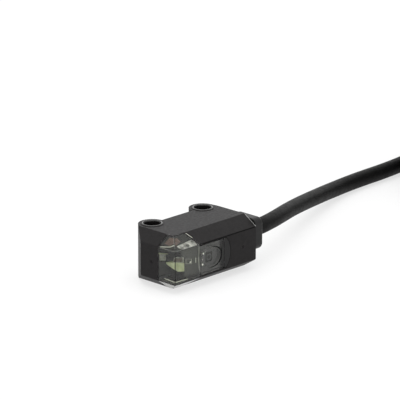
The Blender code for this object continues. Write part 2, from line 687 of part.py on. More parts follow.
def leaded_package(name, centre, size, leads_per_side, lead_pitch, lead_width):
    """Moulded package on the board's back with flat leads along its two long sides."""
    x, z = centre
    length, width, height = size
    seat = BOARD_BACK_Y + CLEARANCE
    body = box(name, (x - length / 2, seat + height / 8, z - width / 2),
               (x + length / 2, seat + height, z + width / 2), PARTS, EPOXY_DARK)
    reach = width / 2 + 2 * lead_width
    for number in range(leads_per_side):
        lead_x = x + (number - (leads_per_side - 1) / 2) * lead_pitch
        lead = box(f"{name}_lead_{number + 1}", (lead_x - lead_width / 2, seat, z - reach),
                   (lead_x + lead_width / 2, seat + height / 4, z + reach))
        combine(body, lead, "UNION")
    return body


def make_components():
    leaded_package("amplifier_ic", (LENS_X - AMPLIFIER_SHIFT, MID_Z), AMPLIFIER_SIZE, 4, AMPLIFIER_LEAD_PITCH,
                   AMPLIFIER_LEAD_WIDTH)
    output_x = BOARD_END_X - OUTPUT_FROM_REAR
    leaded_package("output_transistor", (output_x, MID_Z + OUTPUT_OFFSET), TRANSISTOR_SIZE, 2,
                   TRANSISTOR_LEAD_PITCH, TRANSISTOR_LEAD_WIDTH)
    chip("protection_diode", (output_x, MID_Z - OUTPUT_OFFSET), DIODE_SIZE, EPOXY_DARK)
    filter_x = BOARD_START_X + FILTER_FROM_FRONT
    chip("filter_capacitor", (filter_x, MID_Z + FILTER_OFFSET), FILTER_CAPACITOR_SIZE, CERAMIC_TAN)
    chip("resistor_gain", (filter_x, MID_Z - FILTER_OFFSET), GAIN_RESISTOR_SIZE, EPOXY_DARK)
    chip("resistor_load", (BOARD_END_X - LOAD_RESISTOR_FROM_REAR, MID_Z), LOAD_RESISTOR_SIZE, EPOXY_DARK)
    chip("bulk_capacitor", (BOARD_END_X - BULK_CAPACITOR_FROM_REAR, MID_Z), BULK_CAPACITOR_SIZE, CERAMIC_TAN)


def make_cable_bush():
    low = (BUSH_Y - BUSH_WIDTH / 2, BUSH_Z - BUSH_HEIGHT / 2)
    high = (BUSH_Y + BUSH_WIDTH / 2, BUSH_Z + BUSH_HEIGHT / 2)
    bush = extrude("cable_bush", [rounded_rectangle(low, high, BUSH_CORNER)], "X", REAR_X + CLEARANCE,
                   BUSH_REAR_X, PARTS, BLACK_PLASTIC)
    weights = bush.data.attributes.new("bevel_weight_edge", "FLOAT", "EDGE")
    for edge in bush.data.edges:
        rear = all(bush.data.vertices[index].co.x > BUSH_REAR_X - BEYOND / 10 for index in edge.vertices)
        weights.data[edge.index].value = 1.0 if rear else 0.0
    rim = bush.modifiers.new("rounded_rim", "BEVEL")
    rim.width = BUSH_EDGE
    rim.segments = 3
    rim.limit_method = "WEIGHT"
    neck = cone("bush_neck", "X", (BUSH_Y, BUSH_Z), CAVITY_REAR_X - NECK_TAIL, REAR_X + BUSH_REACH / 2,
                NECK_DIAMETER / 2, NECK_DIAMETER / 2)
    combine(bush, neck, "UNION")
    radius = CORD_DIAMETER / 2 + CLEARANCE
    bore = cone("bush_bore", "X", (BUSH_Y, BUSH_Z), CAVITY_REAR_X - BEYOND, BUSH_REAR_X + BEYOND, radius, radius)
    combine(bush, bore, "DIFFERENCE")
    return bush


def smooth_path(points, per_span):
    """Points of a smooth curve through the given ones, with the same number on each span."""
    points = [Vector(point) for point in points]
    before = points[0] * 2 - points[1]
    after = points[-1] * 2 - points[-2]
    known = [before] + points + [after]
    path = []
    for index in range(1, len(known) - 2):
        p0, p1, p2, p3 = known[index - 1:index + 3]
        for step in range(per_span):
            t = step / per_span
            path.append(0.5 * (2 * p1 + (p2 - p0) * t + (2 * p0 - 5 * p1 + 4 * p2 - p3) * t ** 2
                               + (3 * p1 - p0 - 3 * p2 + p3) * t ** 3))
    path.append(points[-1])
    return path


def tube(name, path, diameter, material):
    curve = bpy.data.curves.new(name, "CURVE")
    curve.dimensions = "3D"
    curve.bevel_depth = diameter / 2
    curve.bevel_resolution = 2
    curve.use_fill_caps = True
    spline = curve.splines.new("POLY")
    spline.points.add(len(path) - 1)
    for point, place in zip(spline.points, path):
        point.co = (*place, 1)
    mesh = mesh_from_curve(name, curve)
    return link(name, mesh, PARTS, material)


def make_cord_run():
    inner_end = (SHEATH_END_X, BUSH_Y, BUSH_Z)
    mouth = (BUSH_REAR_X, BUSH_Y, BUSH_Z)
    path = [Vector(inner_end)] + smooth_path([mouth] + CORD_ROUTE, 2)
    return tube("cord_run", path, CORD_DIAMETER, CORD_PVC)


def make_cores():
    """The three cores from the end of the sheath to their pads on the front of the board."""
    pad_y = BOARD_FRONT_Y - CLEARANCE
    for colour, pad_rise in CORE_PADS.items():
        pad_z = MID_Z + pad_rise
        angle = math.radians(CORE_TURNS[colour])
        y = BUSH_Y + CORE_RING * math.cos(angle)
        z = BUSH_Z + CORE_RING * math.sin(angle)
        route = [
            (CORE_START_X, y, z),
            (CORE_START_X - CORE_STRAIGHT, y, z),
            (CORE_START_X - CORE_BEND, y + (pad_y - y) * 0.3, z + (pad_z - z) * 0.6),
            (CORE_PAD_X, pad_y - CORE_DIAMETER, pad_z),
            (CORE_PAD_X, pad_y, pad_z),
        ]
        tube(f"core_{colour}", smooth_path(route, 3), CORE_DIAMETER, CORE_PVC[colour])


def make_cord_coil():
    """Turned ring with the outer shape of the coiled length."""
    profile = rounded_rectangle((COIL_INNER_RADIUS, COIL_LOW), (COIL_OUTER_RADIUS, COIL_HIGH), CORD_DIAMETER / 4, 3)
    shape = bmesh.new()
    corners = [shape.verts.new((radius, 0, z)) for radius, z in reversed(profile)]
    for index, corner_point in enumerate(corners):
        shape.edges.new((corner_point, corners[(index + 1) % len(corners)]))
    mesh = bpy.data.meshes.new("cord_coil")
    shape.to_mesh(mesh)
    shape.free()
    coil = link("cord_coil", mesh, PARTS, CORD_PVC)
    coil.location = (*COIL_CENTRE, 0)
    screw = coil.modifiers.new("turned", "SCREW")
    screw.angle = 2 * math.pi
    screw.steps = 40
    screw.render_steps = 40
    screw.use_merge_vertices = True
    screw.merge_threshold = 1e-6
    return coil


def make_cord_tie():
    """Band round the coil's section that holds its turns together."""
    outlines = []
    for wall in (0, TIE_THICKNESS):
        side = TIE_SIDE_GAP + wall
        low = (COIL_INNER_RADIUS - side, COIL_LOW - CLEARANCE - wall)
        high = (COIL_OUTER_RADIUS + side, TAIL_HIGH + CLEARANCE + wall)
        outlines.append(rounded_rectangle(low, high, CORD_DIAMETER / 4 + wall))
    tie = extrude("cord_tie", outlines, "Y", -TIE_WIDTH / 2, TIE_WIDTH / 2, PARTS, TIE_NYLON)
    tie.location = (*COIL_CENTRE, 0)
    tie.rotation_euler = (0, 0, math.radians(TIE_ANGLE))
    return tie


def smooth_step(share):
    share = min(1, max(0, share))
    return share * share * (3 - 2 * share)


def tail_place(turns, height, spread=0.0):
    """Place on the coil's top after so many turns, clockwise from its +Y side, at that height."""
    steps = sum(smooth_step((turns - start) / TAIL_STEP_LENGTH) for start in TAIL_STEPS_INWARD)
    radius = COIL_OUTER_RADIUS - COIL_TURN_PITCH * (steps + 0.5) + spread
    angle = math.radians(90 - 360 * turns)
    return Vector((COIL_CENTRE[0] + radius * math.cos(angle), COIL_CENTRE[1] + radius * math.sin(angle), height))


def make_cord_tail():
    """The last turns of the sheath, on top of the coil, and its three stripped cores."""
    height = COIL_HIGH + CLEARANCE + CORD_DIAMETER / 2
    steps = 52
    turns = [TAIL_START + (TAIL_END - TAIL_START) * index / steps for index in range(steps + 1)]
    tube("cord_tail", [tail_place(turn, height) for turn in turns], CORD_DIAMETER, CORD_PVC)

    core_height = COIL_HIGH + CLEARANCE + CORE_DIAMETER / 2
    steps = 10
    gap = TAIL_CORE_GAP / (2 * math.pi * COIL_INNER_RADIUS)
    for offset, colour in enumerate(("black", "blue", "brown"), -1):
        core = []
        for index in range(steps + 1):
            share = index / steps
            lift = (height - core_height) * (1 - smooth_step(3 * share))
            turn = TAIL_END + gap + TAIL_CORE_TURNS * share
            core.append(tail_place(turn, core_height + lift, TAIL_CORE_SPACING * offset))
        tube(f"tail_core_{colour}", core, CORE_DIAMETER, CORE_PVC[colour])
        onward = (core[-1] - core[-2]).normalized()
        tip = [core[-1] + onward * CLEARANCE, core[-1] + onward * TAIL_TIP_LENGTH]
        tube(f"tail_tip_{colour}", tip, TAIL_TIP_DIAMETER, TINNED_COPPER)


def shade():
    for item in PARTS.objects:
        if item.type == "MESH":
            item.data.shade_smooth()
            item.data.set_sharp_from_angle(angle=math.radians(30))


make_case()
make_bottom_cover()
make_front_cover()
make_optics_holder()
make_light_guide()
make_indicator_led()
make_photo_ic()
make_pcb()
make_components()
make_cable_bush()
make_cores()
make_cord_run()
make_cord_coil()
make_cord_tie()
make_cord_tail()
shade()
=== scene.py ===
"""Looks of a through-beam photoelectric sensor head with its cable, in metres, +Z up.

Places are given about the axis of the front mounting hole, in millimetres, and put() turns them into the
row's frame.
"""

import math

import bmesh
import bpy
from mathutils import Matrix, Vector


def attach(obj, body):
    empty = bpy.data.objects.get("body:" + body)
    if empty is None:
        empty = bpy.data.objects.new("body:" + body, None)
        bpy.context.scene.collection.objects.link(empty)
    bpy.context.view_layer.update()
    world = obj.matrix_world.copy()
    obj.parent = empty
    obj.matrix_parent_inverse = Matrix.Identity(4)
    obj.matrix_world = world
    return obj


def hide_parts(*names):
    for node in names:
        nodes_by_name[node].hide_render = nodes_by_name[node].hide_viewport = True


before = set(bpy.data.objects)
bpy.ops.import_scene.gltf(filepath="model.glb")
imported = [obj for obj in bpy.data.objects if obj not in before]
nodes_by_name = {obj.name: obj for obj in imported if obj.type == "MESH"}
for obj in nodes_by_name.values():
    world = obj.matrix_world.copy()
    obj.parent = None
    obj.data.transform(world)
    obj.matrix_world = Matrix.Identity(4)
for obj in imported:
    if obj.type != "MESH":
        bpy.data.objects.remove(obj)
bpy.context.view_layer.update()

MM = 0.001
CENTRE = Vector((6.35, -3.975, 0.0))


def put(x, y, z):
    """A place in millimetres about the front hole's axis, in the row's frame."""
    return (Vector((x, y, z)) - CENTRE) * MM


# Camera: the photograph's own viewing angle, far away with a long lens
AZIMUTH = math.radians(-45.775)
ELEVATION = math.radians(17.6)
DISTANCE = 600.0
AIM = Vector((6.4, -3.8, 5.0))
FRAME_SHIFT = (1.211, 7.982)
SENSOR_WIDTH = 36.0
VIEW_WIDTH = 70.63


def add_camera():
    back = Vector((math.sin(AZIMUTH) * math.cos(ELEVATION), -math.cos(AZIMUTH) * math.cos(ELEVATION),
                   math.sin(ELEVATION)))
    right = Vector((math.cos(AZIMUTH), math.sin(AZIMUTH), 0))
    up = back.cross(right)
    middle = AIM + right * FRAME_SHIFT[0] + up * FRAME_SHIFT[1]
    data = bpy.data.cameras.new("camera")
    data.sensor_width = SENSOR_WIDTH
    data.lens = SENSOR_WIDTH * DISTANCE / VIEW_WIDTH
    data.clip_start = 0.01
    data.clip_end = 10
    camera = bpy.data.objects.new("camera", data)
    turn = Matrix((right, up, back)).transposed()
    camera.matrix_world = Matrix.Translation(put(*(middle + back * DISTANCE))) @ turn.to_4x4()
    bpy.context.scene.collection.objects.link(camera)
    bpy.context.scene.camera = camera


add_camera()

# Cable: its route along the floor, its coil and its bare end
CORD = 3.0
CORD_AXIS = (-7.2, 6.15)
BUSH_MOUTH = (17.55, *CORD_AXIS)
SHEATH_END = (13.7, *CORD_AXIS)
CORD_ROUTE = [
    (20.6, -7.06, 6.15),
    (24.6, -5.90, 5.96),
    (28.6, -4.25, 5.60),
    (33.2, -2.05, 5.00),
    (37.9, 0.14, 4.30),
    (42.7, 2.25, 3.58),
    (47.4, 4.19, 2.90),
    (51.6, 5.80, 2.34),
    (55.5, 7.08, 1.90),
    (59.1, 7.96, 1.65),
    (62.7, 8.50, 1.54),
    (66.9, 8.79, 1.51),
    (72.0, 9.00, 1.51),
    (78.5, 9.65, 1.53),
    (85.4, 10.88, 1.66),
]
COIL_CENTRE = (92.3, -11.0)
COIL_PITCH = 3.05
COIL_MEAN_RADIUS = 18.0
COIL_LOW = 0.35
TURNS_ACROSS = 4
TOP_GAP = 0.025
END_TURNS = 16.88
STEPS_PER_SPAN = 6
STEPS_PER_TURN = 40


def smooth(share):
    share = min(1.0, max(0.0, share))
    return share * share * (3 - 2 * share)


# Steps of the winding: turns at start and end, steps inward, steps upward
WINDING = (
    [(k + 0.75, k + 1.0, 1, 0) for k in range(3)]
    + [(3.5, 3.75, 0, 1)]
    + [(4.25 + k, 4.5 + k, -1, 0) for k in range(3)]
    + [(7.0, 7.25, 0, 1)]
    + [(7.75 + k, 8.0 + k, 1, 0) for k in range(3)]
    + [(10.5, 10.75, 0, 1)]
    + [(11.25 + k, 11.5 + k, -1, 0) for k in range(3)]
    + [(14.0, 14.25, 0, 1)]
    + [(14.75 + k, 15.0 + k, 1, 0) for k in range(3)]
)


def coil_place(turns):
    """Centreline of the coil after so many turns, clockwise from its +Y side."""
    inward = sum(step * smooth((turns - start) / (end - start)) for start, end, step, _ in WINDING)
    upward = sum(step * smooth((turns - start) / (end - start)) for start, end, _, step in WINDING)
    outer = COIL_MEAN_RADIUS + (TURNS_ACROSS - 1) * COIL_PITCH / 2
    radius = outer - inward * COIL_PITCH
    height = COIL_LOW + COIL_PITCH / 2 + upward * COIL_PITCH + TOP_GAP * smooth(turns - 13.5)
    angle = math.radians(90 - 360 * turns)
    return (COIL_CENTRE[0] + radius * math.cos(angle), COIL_CENTRE[1] + radius * math.sin(angle), height)


def smooth_path(points, per_span):
    """Points of a smooth curve through the given ones, with the same number on each span."""
    points = [Vector(point) for point in points]
    known = [points[0] * 2 - points[1]] + points + [points[-1] * 2 - points[-2]]
    path = []
    for index in range(1, len(known) - 2):
        p0, p1, p2, p3 = known[index - 1:index + 3]
        for step in range(per_span):
            t = step / per_span
            path.append(0.5 * (2 * p1 + (p2 - p0) * t + (2 * p0 - 5 * p1 + 4 * p2 - p3) * t ** 2
                               + (3 * p1 - p0 - 3 * p2 + p3) * t ** 3))
    path.append(points[-1])
    return path


def cord_points():
    run = smooth_path([BUSH_MOUTH] + CORD_ROUTE + [coil_place(0.0)], STEPS_PER_SPAN)
    steps = int(END_TURNS * STEPS_PER_TURN)
    coil = [Vector(coil_place(END_TURNS * step / steps)) for step in range(1, steps + 1)]
    return [Vector(SHEATH_END)] + run + coil


def tube(name, points, diameter, material):
    """Round tube along the points (millimetres about the front hole)."""
    data = bpy.data.curves.new(name, "CURVE")
    data.dimensions = "3D"
    data.bevel_depth = diameter / 2 * MM
    data.bevel_resolution = 6
    data.use_fill_caps = True
    spline = data.splines.new("POLY")
    spline.points.add(len(points) - 1)
    for point, place in zip(spline.points, points):
        point.co = (*put(*place), 1)
    spline.use_smooth = True
    item = bpy.data.objects.new(name, data)
    bpy.context.scene.collection.objects.link(item)
    item.data.materials.append(material)
    return item


# Materials: every texture is laid out in millimetres over the object, and the middle of a noise's range
# runs from NOISE_LOW to NOISE_HIGH
NOISE_LOW = 0.3
NOISE_HIGH = 0.7


class Shade:
    """A Principled material and the helpers that feed its sockets."""

    def __init__(self, name):
        self.material = bpy.data.materials.new(name)
        self.material.use_nodes = True
        self.nodes = self.material.node_tree.nodes
        self.links = self.material.node_tree.links
        self.shader = self.nodes["Principled BSDF"]
        place = self.nodes.new("ShaderNodeTexCoord")
        scale = self.nodes.new("ShaderNodeMapping")
        scale.inputs["Scale"].default_value = (1000, 1000, 1000)
        self.links.new(place.outputs["Object"], scale.inputs["Vector"])
        self.place = scale.outputs["Vector"]

    def set(self, **sockets):
        for name, value in sockets.items():
            self.shader.inputs[name.replace("_", " ")].default_value = value
        return self

    def noise(self, scale, detail=3.0, stretch=None):
        texture = self.nodes.new("ShaderNodeTexNoise")
        texture.inputs["Scale"].default_value = scale
        texture.inputs["Detail"].default_value = detail
        vector = self.place
        if stretch:
            mapping = self.nodes.new("ShaderNodeMapping")
            mapping.inputs["Scale"].default_value = stretch
            self.links.new(vector, mapping.inputs["Vector"])
            vector = mapping.outputs["Vector"]
        self.links.new(vector, texture.inputs["Vector"])
        return texture.outputs["Fac"]

    def spread(self, value, low, high):
        """A noise's value, spread from low to high."""
        remap = self.nodes.new("ShaderNodeMapRange")
        remap.inputs["From Min"].default_value = NOISE_LOW
        remap.inputs["From Max"].default_value = NOISE_HIGH
        remap.inputs["To Min"].default_value = low
        remap.inputs["To Max"].default_value = high
        self.links.new(value, remap.inputs["Value"])
        return remap.outputs["Result"]

    def blend(self, share, first, second):
        """Colour between two colours, each a triple or a socket."""
        mix = self.nodes.new("ShaderNodeMix")
        mix.data_type = "RGBA"
        self.links.new(share, mix.inputs[0])
        for socket, colour in ((mix.inputs[6], first), (mix.inputs[7], second)):
            if isinstance(colour, tuple):
                socket.default_value = (*colour, 1)
            else:
                self.links.new(colour, socket)
        return mix.outputs[2]

    def feed(self, socket, value):
        self.links.new(value, self.shader.inputs[socket])

    def bump(self, height, millimetres):
        relief = self.nodes.new("ShaderNodeBump")
        relief.inputs["Strength"].default_value = 1.0
        relief.inputs["Distance"].default_value = millimetres * MM
        self.links.new(height, relief.inputs["Height"])
        self.links.new(relief.outputs["Normal"], self.shader.inputs["Normal"])
        return self


def moulded(name, dark, light, rough, specular, mottle=0.9, grain=11.0, depth=0.006):
    """Moulded plastic: fine grain, faint mottling and a sheen that varies a little.

    mottle and grain are noise scales per millimetre, and depth is the grain's in millimetres.
    """
    shade = Shade(name).set(Specular_IOR_Level=specular)
    clouds = shade.spread(shade.noise(mottle, 4.0), 0.0, 1.0)
    shade.feed("Base Color", shade.blend(clouds, dark, light))
    shade.feed("Roughness", shade.spread(shade.noise(mottle * 2.3, 3.0), rough[0], rough[1]))
    return shade.bump(shade.noise(grain, 2.0), depth).material


HOUSING = moulded("housing_black", (0.004, 0.0031, 0.0033), (0.0068, 0.0055, 0.0057), (0.46, 0.58), 0.19)
BUSH = moulded("bush_black", (0.0055, 0.0054, 0.0054), (0.009, 0.0088, 0.0088), (0.38, 0.5), 0.25)
SHEATH = moulded("cable_sheath", (0.0035, 0.0035, 0.0034), (0.006, 0.0058, 0.0057), (0.5, 0.62), 0.1,
                 mottle=0.5, grain=7.0, depth=0.01)
BOARD = moulded("board_green", (0.02, 0.09, 0.04), (0.03, 0.12, 0.055), (0.25, 0.35), 0.5, 0.5, 3.0, 0.01)
CHIP = moulded("chip_epoxy", (0.012, 0.012, 0.013), (0.02, 0.02, 0.021), (0.45, 0.6), 0.3)
CERAMIC = moulded("ceramic_tan", (0.35, 0.24, 0.14), (0.45, 0.32, 0.2), (0.5, 0.65), 0.4)
TIE = moulded("tie_nylon", (0.008, 0.008, 0.008), (0.014, 0.014, 0.014), (0.35, 0.5), 0.35, 0.8, 9.0)
CORE_BROWN = moulded("core_brown", (0.12, 0.045, 0.018), (0.16, 0.06, 0.026), (0.35, 0.45), 0.4, 0.6, 4.0)
CORE_BLUE = moulded("core_blue", (0.012, 0.07, 0.32), (0.02, 0.1, 0.42), (0.35, 0.45), 0.4, 0.6, 4.0)
CORE_BLACK = moulded("core_black", (0.008, 0.008, 0.008), (0.014, 0.014, 0.014), (0.35, 0.45), 0.4, 0.6, 4.0)
HOLDER = moulded("holder_plastic", (0.004, 0.0045, 0.0022), (0.009, 0.0095, 0.006), (0.45, 0.6), 0.08, 1.2)
# Lighter copy of the holder plastic: painted light on the holder's near face and on the grey oval of the
# painted reflection. shadow_plastic below is its copy in painted shade.
LINER_PAINTED_LIGHT = moulded("liner_painted_light", (0.024, 0.026, 0.021), (0.04, 0.042, 0.034), (0.3, 0.45), 0.3, 1.2)
SHADOW = moulded("shadow_plastic", (0.008, 0.009, 0.006), (0.02, 0.021, 0.016), (0.4, 0.55), 0.15, 1.2)
DISH = moulded("dish_grey", (0.03, 0.03, 0.031), (0.042, 0.042, 0.043), (0.35, 0.5), 0.3, 1.2)
# Near-black: painted shade in the groove round the lens and in the line under the bevel's rear edge, and the
# dark rings behind the lens.
BLACK_AND_SHADE = moulded("black_and_painted_shade", (0.001, 0.001, 0.001), (0.003, 0.003, 0.003), (0.5, 0.6), 0.04, 1.2)
# Painted highlights: pale beads and slabs that stand for glints and bright lines on the window, the lens rim
# and the seam.
PAINTED_HIGHLIGHT = moulded("painted_highlight_pale", (0.5, 0.52, 0.42), (0.72, 0.73, 0.64), (0.2, 0.3), 0.5, 1.5)
# Pale grey: the lamp's own package and the frame round it, and also painted highlights on the lens rim and
# the holder and a painted light patch at the jamb.
PALE_GREY_AND_HIGHLIGHT = moulded("pale_grey_and_painted_light", (0.18, 0.19, 0.15), (0.36, 0.37, 0.31), (0.25, 0.35), 0.5, 2.0)


def clear_plastic():
    shade = Shade("clear_cover").set(Transmission_Weight=1.0, IOR=1.31, Base_Color=(0.97, 0.98, 0.94, 1))
    shade.feed("Roughness", shade.spread(shade.noise(1.6, 3.0), 0.0, 0.045))
    return shade.bump(shade.noise(0.9, 2.0), 0.004).material


def guide_plastic():
    shade = Shade("light_guide").set(Roughness=0.25, Subsurface_Weight=0.5,
                                     Subsurface_Radius=(0.001, 0.001, 0.0006), Subsurface_Scale=1.0)
    clouds = shade.spread(shade.noise(1.3, 3.0), 0.0, 1.0)
    shade.feed("Base Color", shade.blend(clouds, (0.36, 0.41, 0.21), (0.53, 0.58, 0.33)))
    return shade.bump(shade.noise(5.0, 2.0), 0.005).material


def tinned():
    shade = Shade("tinned_copper").set(Metallic=1.0, Base_Color=(0.75, 0.73, 0.7, 1))
    shade.feed("Roughness", shade.spread(shade.noise(6.0, 2.0), 0.25, 0.4))
    return shade.bump(shade.noise(3.0, 2.0, (1, 6, 1)), 0.02).material


GLOSS = moulded("plate_black", (0.002, 0.002, 0.002), (0.0035, 0.0035, 0.0035), (0.02, 0.06), 0.25,
                mottle=1.0, grain=1.5, depth=0.002)
# Polished lips round the holes: their low roughness is real, but their colour, lighter than the housing's,
# is a painted sheen.
LIP_PAINTED_SHEEN = moulded("lip_polished_painted_sheen", (0.03, 0.03, 0.03), (0.06, 0.06, 0.058), (0.12, 0.2), 0.7, 1.0, 6.0, 0.002)
# Painted highlight: the pale bead along the bevel's rear edge.
PAINTED_EDGE_HIGHLIGHT = moulded("painted_edge_highlight", (0.16, 0.16, 0.155), (0.34, 0.34, 0.33), (0.12, 0.2), 0.9, 1.0, 6.0, 0.002)
BROWN = moulded("lamp_brown", (0.03, 0.022, 0.012), (0.07, 0.05, 0.028), (0.3, 0.4), 0.4, 2.0)
# Painted warm glow: brown patches on the holder's roof under the window's bevels.
PAINTED_GLOW = moulded("painted_warm_glow", (0.05, 0.024, 0.015), (0.12, 0.065, 0.045), (0.4, 0.55), 0.3, 1.2)
# Painted reflection: the white quad under the lens-side bevel, where the window reflects bright light from
# above.
PAINTED_REFLECTION = moulded("painted_reflection_white", (0.05, 0.05, 0.045), (0.62, 0.62, 0.58), (0.15, 0.3), 0.5, 1.1, 9.0)
CLEAR = clear_plastic()
GUIDE = guide_plastic()
TINNED = tinned()

points = cord_points()
cable = tube("cable", points, CORD, SHEATH)
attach(cable, "root")
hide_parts("cord_run", "cord_coil", "cord_tail")

# Shapes are drawn in millimetres about the front hole's axis, and settle() moves them to the row's frame.
# BEYOND is how far a cutting form reaches past what it cuts, and cleaned() takes edges shorter than TINY
# and bends under FLAT for nothing
BEYOND = 1.0
TINY = 2e-5
FLAT = math.radians(0.02)


def loose(shape):
    """Object of a bmesh, still in millimetres."""
    bmesh.ops.recalc_face_normals(shape, faces=shape.faces)
    mesh = bpy.data.meshes.new("draft")
    shape.to_mesh(mesh)
    shape.free()
    item = bpy.data.objects.new("draft", mesh)
    bpy.context.scene.collection.objects.link(item)
    return item


def prism(outline, axis, low, high, rim=0.0):
    """Solid with a closed outline across an axis. Its two rims may be rounded.

    Across X the outline's pairs are (y, z), across Y they are (x, z) and across Z they are (x, y).
    """
    def place(pair, level):
        first, second = pair
        return {"X": (level, first, second), "Y": (first, level, second), "Z": (first, second, level)}[axis]

    shape = bmesh.new()
    ends = [[shape.verts.new(place(pair, level)) for pair in outline] for level in (low, high)]
    caps = [shape.faces.new(ends[0]), shape.faces.new(ends[1][::-1])]
    for index in range(len(outline)):
        after = (index + 1) % len(outline)
        shape.faces.new((ends[0][index], ends[1][index], ends[1][after], ends[0][after]))
    if rim:
        edges = [edge for cap in caps for edge in cap.edges]
        bmesh.ops.bevel(shape, geom=edges, offset=rim, segments=3, profile=0.5, affect="EDGES")
    return loose(shape)


def lofted(sections):
    """Solid through outlines of as many points each, given as (outline, x). Their pairs are (y, z)."""
    shape = bmesh.new()
    rows = [[shape.verts.new((level, *pair)) for pair in outline] for outline, level in sections]
    for before, after in zip(rows, rows[1:]):
        for index in range(len(before)):
            following = (index + 1) % len(before)
            shape.faces.new((before[index], after[index], after[following], before[following]))
    shape.faces.new(rows[0])
    shape.faces.new(rows[-1][::-1])
    return loose(shape)


def turned(profile, centre, axis="Z", steps=64):
    """Solid of revolution. The profile's pairs are (radius, level) from one end of the axis to the other."""
    shape = bmesh.new()
    row = [shape.verts.new((radius, 0, level)) for radius, level in profile]
    edges = [shape.edges.new(pair) for pair in zip(row, row[1:])]
    bmesh.ops.spin(shape, geom=row + edges, cent=(0, 0, 0), axis=(0, 0, 1), angle=2 * math.pi, steps=steps)
    bmesh.ops.remove_doubles(shape, verts=shape.verts, dist=1e-5)
    turn = {"X": Matrix.Rotation(math.pi / 2, 4, "Y"), "Y": Matrix.Rotation(-math.pi / 2, 4, "X"),
            "Z": Matrix.Identity(4)}[axis]
    shift = {"X": (0, *centre), "Y": (centre[0], 0, centre[1]), "Z": (*centre, 0)}[axis]
    bmesh.ops.transform(shape, matrix=Matrix.Translation(shift) @ turn, verts=shape.verts)
    return loose(shape)


def block(low, high):
    outline = [(low[0], low[1]), (high[0], low[1]), (high[0], high[1]), (low[0], high[1])]
    return prism(outline, "Z", low[2], high[2])


def slab(places, push):
    """Flat plate: a closed outline in space, pushed along a vector."""
    shape = bmesh.new()
    ends = [[shape.verts.new(Vector(place) + Vector(push) * share) for place in places] for share in (0, 1)]
    shape.faces.new(ends[0])
    shape.faces.new(ends[1][::-1])
    for index in range(len(places)):
        after = (index + 1) % len(places)
        shape.faces.new((ends[0][index], ends[1][index], ends[1][after], ends[0][after]))
    return loose(shape)


def ring(places, width, push):
    """Flat frame of that width inside a closed outline in space, pushed along a vector."""
    middle = sum((Vector(place) for place in places), Vector()) / len(places)
    inner = [Vector(place) + (middle - Vector(place)).normalized() * width for place in places]
    shape = bmesh.new()
    rows = [[shape.verts.new(Vector(place) + Vector(push) * share) for place in row]
            for row, share in ((places, 0), (inner, 0), (inner, 1), (places, 1))]
    for before, after in zip(rows, rows[1:] + rows[:1]):
        for index in range(len(places)):
            following = (index + 1) % len(places)
            shape.faces.new((before[index], before[following], after[following], after[index]))
    return loose(shape)


def wire(start, end, radius):
    """Straight round bead between two places."""
    start, end = Vector(start), Vector(end)
    shape = bmesh.new()
    turn = (end - start).to_track_quat("Z", "Y").to_matrix().to_4x4()
    bmesh.ops.create_cone(shape, cap_ends=True, segments=8, radius1=radius, radius2=radius,
                          depth=(end - start).length, matrix=Matrix.Translation((start + end) / 2) @ turn)
    return loose(shape)


def joined(pairs):
    """One object out of (shape, material) pairs. Each shape keeps its material."""
    shape = bmesh.new()
    materials = []
    for item, material in pairs:
        if material not in materials:
            materials.append(material)
        known = len(shape.faces)
        shape.from_mesh(item.data)
        shape.faces.ensure_lookup_table()
        for face in shape.faces[known:]:
            face.material_index = materials.index(material)
        bpy.data.objects.remove(item, do_unlink=True)
    whole = loose(shape)
    for material in materials:
        whole.data.materials.append(material)
    return whole


def cleaned(mesh):
    """Mesh without the zero-area faces and the needless points that a Boolean leaves."""
    shape = bmesh.new()
    shape.from_mesh(mesh)
    bmesh.ops.remove_doubles(shape, verts=shape.verts, dist=TINY)
    bmesh.ops.dissolve_degenerate(shape, edges=shape.edges, dist=TINY)
    bmesh.ops.dissolve_limit(shape, angle_limit=FLAT, verts=shape.verts, edges=shape.edges)
    shape.to_mesh(mesh)
    shape.free()
    return mesh


def carve(item, tool, operation="DIFFERENCE"):
    """Boolean on an item with a tool that is used up."""
    step = item.modifiers.new("carve", "BOOLEAN")
    step.operation = operation
    step.object = tool
    step.solver = "MANIFOLD"
    bpy.context.view_layer.update()
    mesh = bpy.data.meshes.new_from_object(item.evaluated_get(bpy.context.evaluated_depsgraph_get()))
    item.modifiers.clear()
    item.data = cleaned(mesh)
    bpy.data.objects.remove(tool, do_unlink=True)


def settle(item, name, material, slot, *replaced, sharp=30, weighted=True):
    """Names a finished shape, moves it to the row's frame, shades it and hides the CAD pieces that it
    replaces.
    """
    item.name = name
    item.data.name = name
    item.data.transform(Matrix.Scale(MM, 4) @ Matrix.Translation(-CENTRE))
    if material:
        item.data.materials.clear()
        item.data.materials.append(material)
    item.data.shade_smooth()
    item.data.set_sharp_from_angle(angle=math.radians(sharp))
    if weighted:
        normals = item.modifiers.new("flat_faces", "WEIGHTED_NORMAL")
        normals.keep_sharp = True
        normals.weight = 100
    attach(item, "root")
    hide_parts(*replaced)


def arc(centre, radius, start, end, steps, squeeze=1.0):
    """Points on an arc from start to end degrees. squeeze scales its second direction."""
    points = []
    for index in range(steps + 1):
        angle = math.radians(start + (end - start) * index / steps)
        points.append((centre[0] + radius * math.cos(angle), centre[1] + radius * squeeze * math.sin(angle)))
    return points


